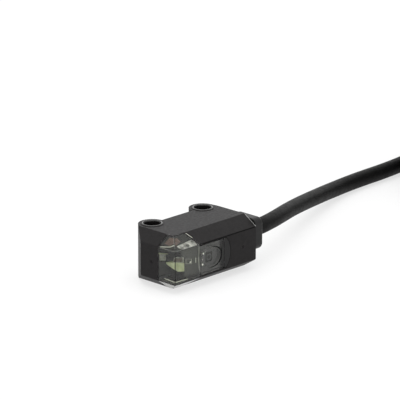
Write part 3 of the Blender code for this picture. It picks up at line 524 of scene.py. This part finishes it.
def filleted(corners, steps=4):
    """Outline with each corner (first, second, radius) rounded. A radius of 0 keeps it sharp."""
    points = []
    for index, (x, y, radius) in enumerate(corners):
        here = Vector((x, y))
        if not radius:
            points.append((x, y))
            continue
        before = (Vector(corners[index - 1][:2]) - here).normalized()
        after = (Vector(corners[(index + 1) % len(corners)][:2]) - here).normalized()
        half = before.angle(after) / 2
        centre = here + (before + after).normalized() * radius / math.sin(half)
        start = here + before * radius / math.tan(half) - centre
        sweep = math.copysign(math.pi - 2 * half, before.angle_signed(after))
        for step in range(steps + 1):
            angle = sweep * step / steps
            spoke = Vector((start.x * math.cos(angle) - start.y * math.sin(angle),
                            start.x * math.sin(angle) + start.y * math.cos(angle)))
            points.append(tuple(centre + spoke))
    return points


def rounded_box(low, high, radius, steps=6):
    return filleted([(low[0], low[1], radius), (high[0], low[1], radius), (high[0], high[1], radius),
                     (low[0], high[1], radius)], steps)


# Sizes that the head shares with the CAD model: outline and bevels
HEIGHT = 9.7
MID = HEIGHT / 2
LENS_Y = -10.45
END_X = -4.85
REAR_X = 15.5
LOBE = 2.5
LENS_RUN = 2.8
END_RUN = 2.35
DROP = 1.75
FLANK = 2.8

# Holes, web between the lobes, walls and cavity
PITCH = 12.7
HOLES = ((0, 0), (PITCH, 0))
HOLE = 1.6
HOLE_MOUTH = 1.85
WEB = 2.95
WALL = 0.9
CAVITY = (-2.85, REAR_X - WALL)

# Clear window and lens plate
JAMB_Y = LENS_Y + 4.25
WINDOW_FOOT = 6.35
WINDOW_TOP = 5.15
PLATE_MARGIN = 0.4
PLATE_REACH = 9.0
PLATE_RADIUS = 4.0
PLATE_WALL = 0.8

# Closing strip in the underside, and cable bush
LID_LOW = (1.6, -7.05)
LID_HIGH = (14.2, -2.95)
LID_LEDGE = 0.4
LID_DEPTH = 0.5
LID_GAP = 0.05
BUSH_WIDTH = 6.3
BUSH_HEIGHT = 5.9
BUSH_CORNER = 1.2
BUSH_EDGE = 0.5

# Sizes that differ from the CAD model's, and the raised lips round the holes, which it leaves out
END_FLANK = 1.95
EDGE = 0.18
LENS_X = 4.4
NECK = 2.05
DIMPLE_MOUTH = 0.8
DIMPLE_FLOOR = 0.12
DIMPLE_DEPTH = 0.16
COLLAR = 2.05
COLLAR_TOP = HEIGHT + 0.08

# Gaps: round the clear cover, and between flat faces that would otherwise coincide
BOND = 0.02
SPARE = 0.004


def bevelled_section(near, far, run, inset=0.0, radius=EDGE, spare=0.0):
    """Section of the housing across a bevelled side at near, shrunk on all sides by inset.

    With spare it is a little taller, so that two forms never share their flat faces.
    """
    slope = math.hypot(run, DROP)
    along = run + inset * (slope - run) / DROP
    foot = DROP + inset * (slope - DROP) / run
    low, high = inset - spare, HEIGHT - inset + spare
    return filleted([
        (near + inset, foot, radius),
        (near + along, low, radius),
        (far, low, 0),
        (far, high, 0),
        (near + along, high, radius),
        (near + inset, HEIGHT - foot, radius),
    ])


def lens_side(start, end, far, inset=0.0, radius=EDGE, rim=0.0):
    return prism(bevelled_section(LENS_Y, far, LENS_RUN, inset, radius), "X", start, end, rim)


def end_side(inset=0.0, radius=EDGE):
    section = bevelled_section(END_X, REAR_X + 2 * BEYOND, END_RUN, inset, radius, SPARE)
    return prism(section, "Y", LENS_Y - BEYOND, LOBE + BEYOND)


def window_outline(gap):
    """Plan of the clear corner: it borders the top face, the jamb at the end and the slanted line."""
    top_x = END_X + END_RUN + gap
    top_y = LENS_Y + LENS_RUN + gap
    slant = (WINDOW_FOOT - WINDOW_TOP) / LENS_RUN
    foot_x = END_X + WINDOW_FOOT + gap
    return [
        (END_X - BEYOND, LENS_Y - BEYOND),
        (foot_x + slant * BEYOND, LENS_Y - BEYOND),
        (foot_x - slant * (LENS_RUN + gap), top_y),
        (top_x, top_y),
        (top_x, JAMB_Y + gap),
        (END_X - BEYOND, JAMB_Y + gap),
    ]


def plate_outline(gap, start):
    """Elevation of the lens plate: straight above and below, with an arc at its far end."""
    half = MID - DROP - PLATE_MARGIN + gap
    radius = PLATE_RADIUS + gap
    turn = math.degrees(math.asin(half / radius))
    end = arc((PLATE_REACH - PLATE_RADIUS, MID), radius, -turn, turn, 32)
    return [(start, MID - half)] + end + [(start, MID + half)]


def flank_touch(reach, setback):
    """Angle at which a flank from a corner that far past a lobe's axis touches the lobe."""
    corner_angle = 180 + math.degrees(math.atan2(setback, reach))
    return corner_angle - math.degrees(math.acos(LOBE / math.hypot(reach, setback)))


def make_case():
    lobes = (arc((PITCH, 0), LOBE, 180 - flank_touch(REAR_X - PITCH, FLANK), 180, 40)
             + arc((0, 0), LOBE, 0, flank_touch(-END_X, END_FLANK), 36))
    plan = filleted(
        [(END_X, LENS_Y, EDGE), (REAR_X + BEYOND, LENS_Y, 0), (REAR_X + BEYOND, -FLANK - BEYOND, 0),
         (REAR_X, -FLANK, 0)]
        + [(x, y, 0) for x, y in lobes]
        + [(END_X, -END_FLANK, 0.3)])
    case = prism(plan, "Z", SPARE, HEIGHT - SPARE, rim=0.12)
    carve(case, lens_side(END_X - 2 * BEYOND, REAR_X, LOBE + BEYOND, rim=0.16), "INTERSECT")
    carve(case, end_side(), "INTERSECT")
    carve(case, lens_side(*CAVITY, -WEB, WALL, 0))
    carve(case, prism(window_outline(0), "Z", -BEYOND, HEIGHT + BEYOND))
    carve(case, prism(plate_outline(0.09, END_X), "Y", LENS_Y - BEYOND, LENS_Y + WALL + 0.05))

    for centre in HOLES:
        low, high = HEIGHT - WALL, COLLAR_TOP
        collar = [(0, low), (COLLAR, low), (COLLAR, high - 0.04), (COLLAR - 0.04, high), (0, high)]
        carve(case, turned(collar, centre), "UNION")
        wide = HOLE_MOUTH + BEYOND
        bore = [(0, -BEYOND), (wide, -BEYOND), (HOLE, 0.25), (HOLE, high - 0.25), (wide, high + BEYOND),
                (0, high + BEYOND)]
        carve(case, turned(bore, centre))

    # Underside: relief under the web, opening to the inside and its closing strip's seat
    relief = filleted([(2.9, -2.55, 0.4), (9.8, -2.55, 0.4), (9.8, BEYOND, 0), (2.9, BEYOND, 0)])
    carve(case, prism(relief, "Z", -BEYOND, 0.6))
    (left, near), (right, far) = LID_LOW, LID_HIGH
    carve(case, block((left + LID_LEDGE, near + LID_LEDGE, -BEYOND),
                      (right - LID_LEDGE, far - LID_LEDGE, WALL + BEYOND / 4)))
    seat = rounded_box((left - LID_GAP, near - LID_GAP), (right + LID_GAP, far + LID_GAP), 0.25)
    carve(case, prism(seat, "Z", -BEYOND, LID_DEPTH + LID_GAP))

    # Rear opening for the bush's neck, and the moulding dimples on three sides
    radius = NECK + 0.1
    opening = [(0, 14.05), (radius, 14.05), (radius, REAR_X + BEYOND), (0, REAR_X + BEYOND)]
    carve(case, turned(opening, CORD_AXIS, "X"))
    for axis, centre, face, inward in (("Y", (REAR_X - 3.3, MID), LENS_Y, 1), ("X", (-4.6, MID), END_X, 1),
                                       ("Y", (PITCH / 2, MID), 0, -1)):
        low, high = sorted((face - inward * 0.3, face + inward * DIMPLE_DEPTH))
        radii = (DIMPLE_MOUTH, DIMPLE_FLOOR) if inward > 0 else (DIMPLE_FLOOR, DIMPLE_MOUTH)
        carve(case, turned([(0, low), (radii[0], low), (radii[1], high), (0, high)], centre, axis, 24))
    settle(case, "housing", HOUSING, "housing", "case")


# Clear corner window with the lens plate, one moulding. The lens and its rim are ovals, given by half their
# width and height
CLEAR_EDGE = 0.04
CLEAR_WALL = 0.25
PLATE_START = 1.12
CLEAR_END_X = 7.38
LENS_HALF = (2.3, 1.8)
LENS_RISE = 0.1
RIM_HALF = (2.5, 1.925)


def make_front_cover():
    cover = prism(window_outline(BOND), "Z", -BEYOND, HEIGHT + BEYOND)
    carve(cover, lens_side(END_X - BEYOND, REAR_X, LOBE, radius=CLEAR_EDGE), "INTERSECT")
    carve(cover, end_side(radius=CLEAR_EDGE), "INTERSECT")
    inner = lens_side(END_X, REAR_X, LOBE, CLEAR_WALL, 0)
    carve(inner, end_side(CLEAR_WALL, 0), "INTERSECT")
    carve(cover, inner)

    half = MID - DROP - PLATE_MARGIN
    carve(cover, prism(clear_plate(0), "Z", MID - half, MID + half), "UNION")
    wide, high = LENS_HALF
    dome = [(wide * math.cos(math.radians(angle)), LENS_RISE * math.sin(math.radians(angle)))
            for angle in range(5, 91, 5)]
    bulge = turned([(0, -LENS_RISE), (wide, -LENS_RISE)] + dome, (LENS_X, MID), "Y")
    bulge.data.transform(Matrix.Translation((0, LENS_Y + PLATE_WALL, MID))
                         @ Matrix.Scale(high / wide, 4, (0, 0, 1)) @ Matrix.Translation((0, 0, -MID)))
    carve(cover, bulge, "UNION")
    settle(cover, "clear_window", CLEAR, "clear_cover", "front_cover")


def clear_plate(gap):
    """Plan of the clear part of the lens plate. Its two sides lean with the line of sight."""
    return [(PLATE_START, LENS_Y - gap), (CLEAR_END_X + gap, LENS_Y - gap),
            (CLEAR_END_X + 0.6 + gap, LENS_Y + PLATE_WALL + gap),
            (PLATE_START + 0.68, LENS_Y + PLATE_WALL + gap)]


def crescent(start, end, thick, steps=24):
    """Part of the lens's rim on the plate, thickest in its middle, from start to end degrees."""
    wide, high = RIM_HALF
    places = []
    for index in range(steps + 1):
        share = index / steps
        angle = math.radians(start + (end - start) * share)
        places.append((wide * math.cos(angle), high * math.sin(angle)))
    for index in range(steps - 1, 0, -1):
        share = index / steps
        angle = math.radians(start + (end - start) * share)
        width = thick * math.sin(math.pi * share)
        places.append(((wide - width) * math.cos(angle), (high - width) * math.sin(angle)))
    places = [(LENS_X + x, MID + z) for x, z in places]
    return prism(places, "Y", LENS_Y - 0.012, LENS_Y + 0.01)


def make_lens_rim():
    """Groove round the lens, in painted shade and painted highlights: a dark crescent on the cable side, and
    a pale crescent and small beads as glints on the other side.
    """
    pairs = [(crescent(-125, 115, 0.27), BLACK_AND_SHADE), (crescent(128, 140, 0.1, 8), PALE_GREY_AND_HIGHLIGHT)]
    # Painted glints: small pale beads beside the lens.
    for x, z, radius in ((-2.25, 1.15, 0.15), (-2.45, -0.82, 0.18), (-2.5, 0.1, 0.07)):
        low, high = LENS_Y - 0.01, LENS_Y + 0.01
        bead = [(0, LENS_Y - 0.03), (radius, low), (radius, high), (0, high)]
        pairs.append((turned(bead, (LENS_X + x, MID + z), "Y", 16), PAINTED_HIGHLIGHT))
    settle(joined(pairs), "lens_rim", None, "clear_cover", "front_cover")


def make_plate_end():
    """Blackened end of the lens plate, from the clear part to the arc."""
    end = prism(plate_outline(0, CLEAR_END_X - 0.5), "Y", LENS_Y, LENS_Y + PLATE_WALL, 0.03)
    carve(end, prism(clear_plate(0.01), "Z", 0, HEIGHT))
    settle(end, "plate_end", GLOSS, "clear_cover", "front_cover")


# Inside the window: holder, light guide and lamp
HOLDER_INSET = 1.02
HOLDER_EDGE = 0.06
HOLDER_FACE = LENS_Y + HOLDER_INSET
HOOD_INSET = 0.45
HOOD_WALL = 0.1
HOOD_END = 1.05
HOOD_BACK = -5.9
HOLDER_FRONT = -2.4
GUIDE_X = -1.7
GUIDE_FRONT = -2.9
GUIDE_LEAN = 0.37
NEAR_SHIFT = Vector((0.33, 0, -0.14))
JAMB_SHIFT = 0.33


def roof_z(y):
    """Height of the holder's roof under the lens-side bevel."""
    foot = DROP + HOOD_INSET * (math.hypot(LENS_RUN, DROP) - DROP) / LENS_RUN
    return HEIGHT - foot + (y - (LENS_Y + HOOD_INSET)) * DROP / LENS_RUN


def hood_z(x):
    """Height of the holder's roof under the end bevel."""
    foot = DROP + HOOD_INSET * (math.hypot(END_RUN, DROP) - DROP) / END_RUN
    return HEIGHT - foot + (x - (END_X + HOOD_INSET)) * DROP / END_RUN


def inner_shell(low, high):
    """Thin roof or floor that follows the cover's inner side between two heights."""
    shell = lens_side(END_X - BEYOND, HOOD_END, HOOD_BACK, HOOD_INSET, 0)
    carve(shell, end_side(HOOD_INSET, 0), "INTERSECT")
    inside = HOOD_INSET + HOOD_WALL
    hollow = lens_side(END_X - BEYOND, HOOD_END + BEYOND, HOOD_BACK + BEYOND, inside, 0)
    carve(hollow, end_side(inside, 0), "INTERSECT")
    carve(shell, hollow)
    carve(shell, block((END_X, LENS_Y, low), (1.0, JAMB_Y - 0.02, high)), "INTERSECT")
    return shell


def make_holder():
    body = lens_side(HOLDER_FRONT, 10.0, -6.2, HOLDER_INSET, HOLDER_EDGE)
    carve(body, end_side(HOLDER_INSET, HOLDER_EDGE), "INTERSECT")
    carve(body, block((HOLDER_FRONT - BEYOND, LENS_Y, 1.9), (GUIDE_X, -5.0, 6.1)))
    carve(body, prism(guide_outline(0.04), "X", -3.0, 0.1))
    carve(body, prism(lamp_outline(0.04), "X", -3.0, 0.1))
    proud = (0, -0.05, 0)
    front = HOLDER_FRONT + 0.04
    side = GUIDE_X + 0.04
    face = [(side, 2.1), (2.1, 2.1), (2.1, 7.33), (front, 7.33), (front, 6.15), (side, 6.15)]
    # The face's slab is painted light: a lighter copy of the holder plastic.
    pairs = [(body, HOLDER), (slab([(x, HOLDER_FACE, z) for x, z in face], proud), LINER_PAINTED_LIGHT)]

    def on_face(places):
        return [Vector((x, HOLDER_FACE - 0.05, z)) + NEAR_SHIFT for x, z in places]

    # A pale frame round the lamp.
    mark = on_face([(-1.69, 5.81), (-0.23, 5.48), (-0.23, 4.55), (-1.69, 4.89)])
    pairs.append((ring(mark, 0.13, (0, -0.03, 0)), PALE_GREY_AND_HIGHLIGHT))
    # Painted highlight: a bright spot on the lamp.
    spot = on_face([(-0.7, 4.82), (-0.42, 4.82), (-0.42, 5.08), (-0.7, 5.08)])
    pairs.append((slab(spot, (0, -0.04, 0)), PAINTED_HIGHLIGHT))
    # Painted glints: two short bright bars where the plate starts.
    for x, width, material in ((0.74, 0.12, PAINTED_HIGHLIGHT), (1.45, 0.08, PALE_GREY_AND_HIGHLIGHT)):
        bar = on_face([(x, 4.52), (x + width, 4.5), (x + width, 5.42), (x, 5.44)])
        pairs.append((slab(bar, (0, -0.03, 0)), material))
    # Painted highlight: a thin vertical line at the window's right boundary.
    line = on_face([(1.5, 3.3), (1.57, 3.3), (1.57, 7.3), (1.5, 7.3)])
    pairs.append((slab(line, (0, -0.02, 0)), PALE_GREY_AND_HIGHLIGHT))
    backing = [(2.2, 2.2), (9.0, 2.2), (9.0, 7.4), (2.2, 7.4)]
    pairs.append((slab([(x, HOLDER_FACE, z) for x, z in backing], proud), DISH))

    def behind_lens(half_width, half_height, level):
        return [(LENS_X - 0.25 + x, HOLDER_FACE - level, MID - 0.05 + z)
                for x, z in rounded_box((-half_width, -half_height), (half_width, half_height), 0.25)]

    pairs.append((slab(behind_lens(0.84, 0.9, 0.05), (0, -0.01, 0)), BLACK_AND_SHADE))
    pairs.append((slab(behind_lens(0.52, 0.55, 0.06), (0, -0.01, 0)), DISH))
    pairs.append((slab(behind_lens(0.3, 0.34, 0.07), (0, -0.01, 0)), BLACK_AND_SHADE))
    settle(joined(pairs), "holder", None, "holder", "optics_holder")


def make_hood():
    """Roof and floor of the holder under the window's bevels, with painted light on them: a painted
    reflection (a white quad with a grey oval), painted warm glow, a painted bright line and two painted
    glints along the lower edge.
    """
    pairs = [(inner_shell(7.75, HEIGHT), HOLDER), (inner_shell(0, 2.3), HOLDER)]
    up = (0, 0, 0.05)
    # Painted reflection: a white quad with a grey oval in it.
    quad = [(-3.21, -9.19), (0.72, -8.88), (0.98, -9.3), (0.98, -9.98), (-2.48, -9.98), (-3.03, -9.67)]
    pairs.append((slab([(x, y, roof_z(y)) for x, y in quad], up), PAINTED_REFLECTION))
    oval = arc((-1.0, -9.63), 0.42, 0, 360, 20, 0.55)[:-1]
    pairs.append((slab([(x, y, roof_z(y) + 0.05) for x, y in oval], (0, 0, 0.02)), LINER_PAINTED_LIGHT))
    # Painted warm glow under the end bevel and the lens-side bevel.
    glow = [(-3.67, -6.74), (-2.5, -6.9), (-2.4, -7.7), (-3.2, -8.6), (-3.75, -8.2)]
    pairs.append((slab([(x, y, hood_z(x)) for x, y in glow], up), PAINTED_GLOW))
    glow = [(-3.2, -8.85), (-2.4, -7.9), (-1.8, -7.8), (-1.7, -8.6), (-3.1, -9.0)]
    pairs.append((slab([(x, y, roof_z(y)) for x, y in glow], up), PAINTED_GLOW))
    # Painted highlight: a bright line under the end bevel.
    painted_ridge_line = [(-4.34, -6.25), (-3.87, -8.4), (-3.47, -8.84), (-3.54, -8.92), (-3.93, -8.46), (-4.38, -6.4)]
    pairs.append((slab([(x, y, hood_z(x)) for x, y in painted_ridge_line], up), PAINTED_HIGHLIGHT))
    # Painted glints: two bright sills along the window's lower edge.
    wall_x = END_X + HOOD_INSET
    wall_y = LENS_Y + HOOD_INSET
    near_y = wall_y + 0.01
    for painted_sill_glint in ([(wall_x, -7.5, 2.42), (wall_x, near_y, 2.3), (wall_x, near_y, 2.18), (wall_x, -7.5, 2.3)],
                 [(wall_x, wall_y, 2.3), (-1.4, wall_y, 2.2), (-1.4, wall_y, 2.08), (wall_x, wall_y, 2.18)]):
        pairs.append((slab(painted_sill_glint, (-0.03, -0.03, 0)), PAINTED_HIGHLIGHT))
    settle(joined(pairs), "holder_hood", None, "holder", "optics_holder")


def make_jamb():
    """Inner side of the window at the jamb, with painted light and shade: a painted light patch, a painted
    bright line in the light guide's colour and a greenish strip of painted shade, on a dark backing.
    """
    out = (0, -0.05, 0)
    face = JAMB_Y - 0.02
    back = [(-4.2, 8.4), (-1.4, 8.4), (-1.4, 2.2), (-4.2, 2.2)]
    patch = [(-4.03, 6.48), (-2.51, 6.13), (-2.51, 5.0), (-4.03, 5.35)]
    painted_line = [(-4.3, 6.8), (-1.9, 6.1), (-1.9, 5.98), (-4.3, 6.52)]
    strip = [(-4.3, 5.4), (-1.4, 4.75), (-1.4, 2.4), (-4.3, 2.75)]
    # The patch, the line and the strip are painted light and painted shade seen through the cover.
    pairs = [(slab([(max(x - JAMB_SHIFT, END_X + 0.3), face, z) for x, z in places], out), material)
             for places, material in ((patch, PALE_GREY_AND_HIGHLIGHT), (painted_line, GUIDE), (strip, SHADOW))]
    pairs.append((slab([(x - JAMB_SHIFT, face + 0.01, z) for x, z in back], (0, -0.02, 0)), HOLDER))
    settle(joined(pairs), "window_jamb", None, "holder", "optics_holder")


def guide_outline(gap):
    return [(-6.29 + gap, 4.38 - gap), (-6.29 + gap, 4.66 + gap), (-9.43 - gap, 4.95 + gap),
            (-9.43 - gap, 3.45 - gap), (-8.3, 3.2 - gap)]


def lamp_outline(gap):
    return [(-7.55 + gap, 4.84 - gap), (-7.88, 5.79 + gap), (-9.33 - gap, 6.06 + gap),
            (-9.33 - gap, 5.04 - gap)]


def lean_front(item, ahead=0.0):
    """Slants a prism's front: it reaches furthest forward at the jamb."""
    for vertex in item.data.vertices:
        if vertex.co.x < -1.0:
            vertex.co.x += (-6.2 - vertex.co.y) * GUIDE_LEAN - ahead
    return item


def make_guide():
    guide = lean_front(prism(guide_outline(0), "X", GUIDE_FRONT, 0, 0.05))
    settle(guide, "light_pipe", GUIDE, "guide", "light_guide")


def make_lamp():
    inner = [(-7.72, 4.96), (-7.98, 5.68), (-9.22, 5.9), (-9.22, 5.18)]
    pairs = [(lean_front(prism(lamp_outline(0), "X", GUIDE_FRONT, 0, 0.05), 0.1), PALE_GREY_AND_HIGHLIGHT),
             (lean_front(prism(inner, "X", GUIDE_FRONT, -0.5, 0.04), 0.16), BROWN)]
    settle(joined(pairs), "lamp", None, "led", "indicator_led")


def make_seam_glint():
    """Painted highlight: a thin pale bead on the upper part of the slanted seam."""
    bead = [(0.34, -7.85), (0.83, -9.0), (0.93, -9.0), (0.46, -7.85)]
    rise = [(x, y, HEIGHT + (y - LENS_Y - LENS_RUN) * DROP / LENS_RUN) for x, y in bead]
    settle(slab(rise, (0, -0.006, 0.01)), "painted_seam_highlight", PAINTED_HIGHLIGHT, "clear_cover", "front_cover")


def make_edge_lines():
    """Polished lips round both holes, whose lighter colour is a painted sheen, a painted highlight along the
    bevel's rear edge and a painted shade line under it.
    """
    pairs = []
    top = COLLAR_TOP
    for centre in HOLES:
        lip = [(1.61, top - 0.3), (1.61, top), (1.65, top + 0.05), (1.72, top + 0.07), (1.79, top + 0.05),
               (1.84, top - 0.02), (1.84, top - 0.3), (1.61, top - 0.3)]
        pairs.append((turned(lip, centre), LIP_PAINTED_SHEEN))
    # Painted highlight: a pale bead along the bevel's rear edge.
    upper = (REAR_X - 0.06, LENS_Y + LENS_RUN, HEIGHT - 0.06)
    lower = (REAR_X - 0.06, LENS_Y + 0.04, HEIGHT - DROP - 0.01)
    pairs.append((wire(upper, lower, 0.08), PAINTED_EDGE_HIGHLIGHT))
    # Painted shade: a dark line on the lens face under the bevel.
    line = [(2.05, -0.2), (REAR_X - 0.12, -0.2), (REAR_X - 0.12, -0.03), (1.9, -0.03)]
    pairs.append((slab([(x, LENS_Y, HEIGHT - DROP + z) for x, z in line], (0, -0.012, 0)), BLACK_AND_SHADE))
    settle(joined(pairs), "edge_lines", None, "housing", "case", sharp=80, weighted=False)


def make_bush():
    steps = [(0.0, REAR_X + 0.04)]
    for angle in range(0, 91, 10):
        turn = math.radians(angle)
        steps.append((BUSH_EDGE * (1 - math.cos(turn)), BUSH_MOUTH[0] - BUSH_EDGE * (1 - math.sin(turn))))
    across, up = CORD_AXIS
    sections = []
    for inset, x in steps:
        wide, high = BUSH_WIDTH / 2 - inset, BUSH_HEIGHT / 2 - inset
        outline = rounded_box((across - wide, up - high), (across + wide, up + high),
                              BUSH_CORNER - inset, 10)
        sections.append((outline, x))
    bush = lofted(sections)
    neck = [(0, 13.7), (NECK, 13.7), (NECK, REAR_X + 0.8), (0, REAR_X + 0.8)]
    carve(bush, turned(neck, CORD_AXIS, "X"), "UNION")
    bore = [(0, 12.0), (1.53, 12.0), (1.53, 17.35), (1.75, 18.0), (0, 18.0)]
    carve(bush, turned(bore, CORD_AXIS, "X"))
    settle(bush, "bush", BUSH, "bush", "cable_bush")


make_case()
make_front_cover()
make_lens_rim()
make_plate_end()
make_holder()
make_hood()
make_jamb()
make_edge_lines()
make_seam_glint()
make_guide()
make_lamp()
make_bush()

# Pieces that keep their CAD solids
for name, material in {
    "bottom_cover": HOUSING, "photo_ic": CHIP, "pcb": BOARD, "amplifier_ic": CHIP,
    "output_transistor": CHIP, "protection_diode": CHIP, "filter_capacitor": CERAMIC, "resistor_gain": CHIP,
    "resistor_load": CHIP, "bulk_capacitor": CERAMIC, "core_brown": CORE_BROWN, "core_blue": CORE_BLUE,
    "core_black": CORE_BLACK, "cord_tie": TIE, "tail_core_brown": CORE_BROWN, "tail_core_blue": CORE_BLUE,
    "tail_core_black": CORE_BLACK, "tail_tip_brown": TINNED, "tail_tip_blue": TINNED,
    "tail_tip_black": TINNED,
}.items():
    mesh = nodes_by_name[name].data
    for index in range(len(mesh.materials)):
        mesh.materials[index] = material

# Floor and light: a pale table and an even white tent
floor_shade = Shade("floor_white").set(Roughness=0.7, Specular_IOR_Level=0.0, Emission_Color=(1, 1, 1, 1),
                                       Emission_Strength=0.68)
floor_clouds = floor_shade.noise(0.01, 2.0)
floor_shade.feed("Base Color", floor_shade.blend(floor_clouds, (0.26, 0.26, 0.26), (0.28, 0.28, 0.28)))
floor = prism([(-2000, -2000), (2000, -2000), (2000, 2000), (-2000, 2000)], "Z", -2, -0.1)
floor.name = "floor"
floor.data.transform(Matrix.Scale(MM, 4))
floor.data.materials.append(floor_shade.material)


def light_tent():
    """White tent, brighter overhead and towards the far side."""
    world = bpy.data.worlds.new("studio")
    bpy.context.scene.world = world
    world.use_nodes = True
    nodes = world.node_tree.nodes
    links = world.node_tree.links
    direction = nodes.new("ShaderNodeTexCoord").outputs["Generated"]
    strength = 1.0
    for way, start, end, gain in (((0, 0, 1), 0.8, 0.97, 1.6), ((0.7, 0.7, 0.15), 0.5, 0.95, 0.45)):
        dot = nodes.new("ShaderNodeVectorMath")
        dot.operation = "DOT_PRODUCT"
        dot.inputs[1].default_value = way
        links.new(direction, dot.inputs[0])
        rise = nodes.new("ShaderNodeMapRange")
        rise.interpolation_type = "SMOOTHSTEP"
        rise.inputs["From Min"].default_value = start
        rise.inputs["From Max"].default_value = end
        rise.inputs["To Max"].default_value = gain
        links.new(dot.outputs["Value"], rise.inputs["Value"])
        add = nodes.new("ShaderNodeMath")
        if isinstance(strength, float):
            add.inputs[0].default_value = strength
        else:
            links.new(strength, add.inputs[0])
        links.new(rise.outputs["Result"], add.inputs[1])
        strength = add.outputs["Value"]
    nodes["Background"].inputs["Color"].default_value = (1, 1, 1, 1)
    links.new(strength, nodes["Background"].inputs["Strength"])


light_tent()
bpy.context.scene.view_settings.view_transform = "Standard"
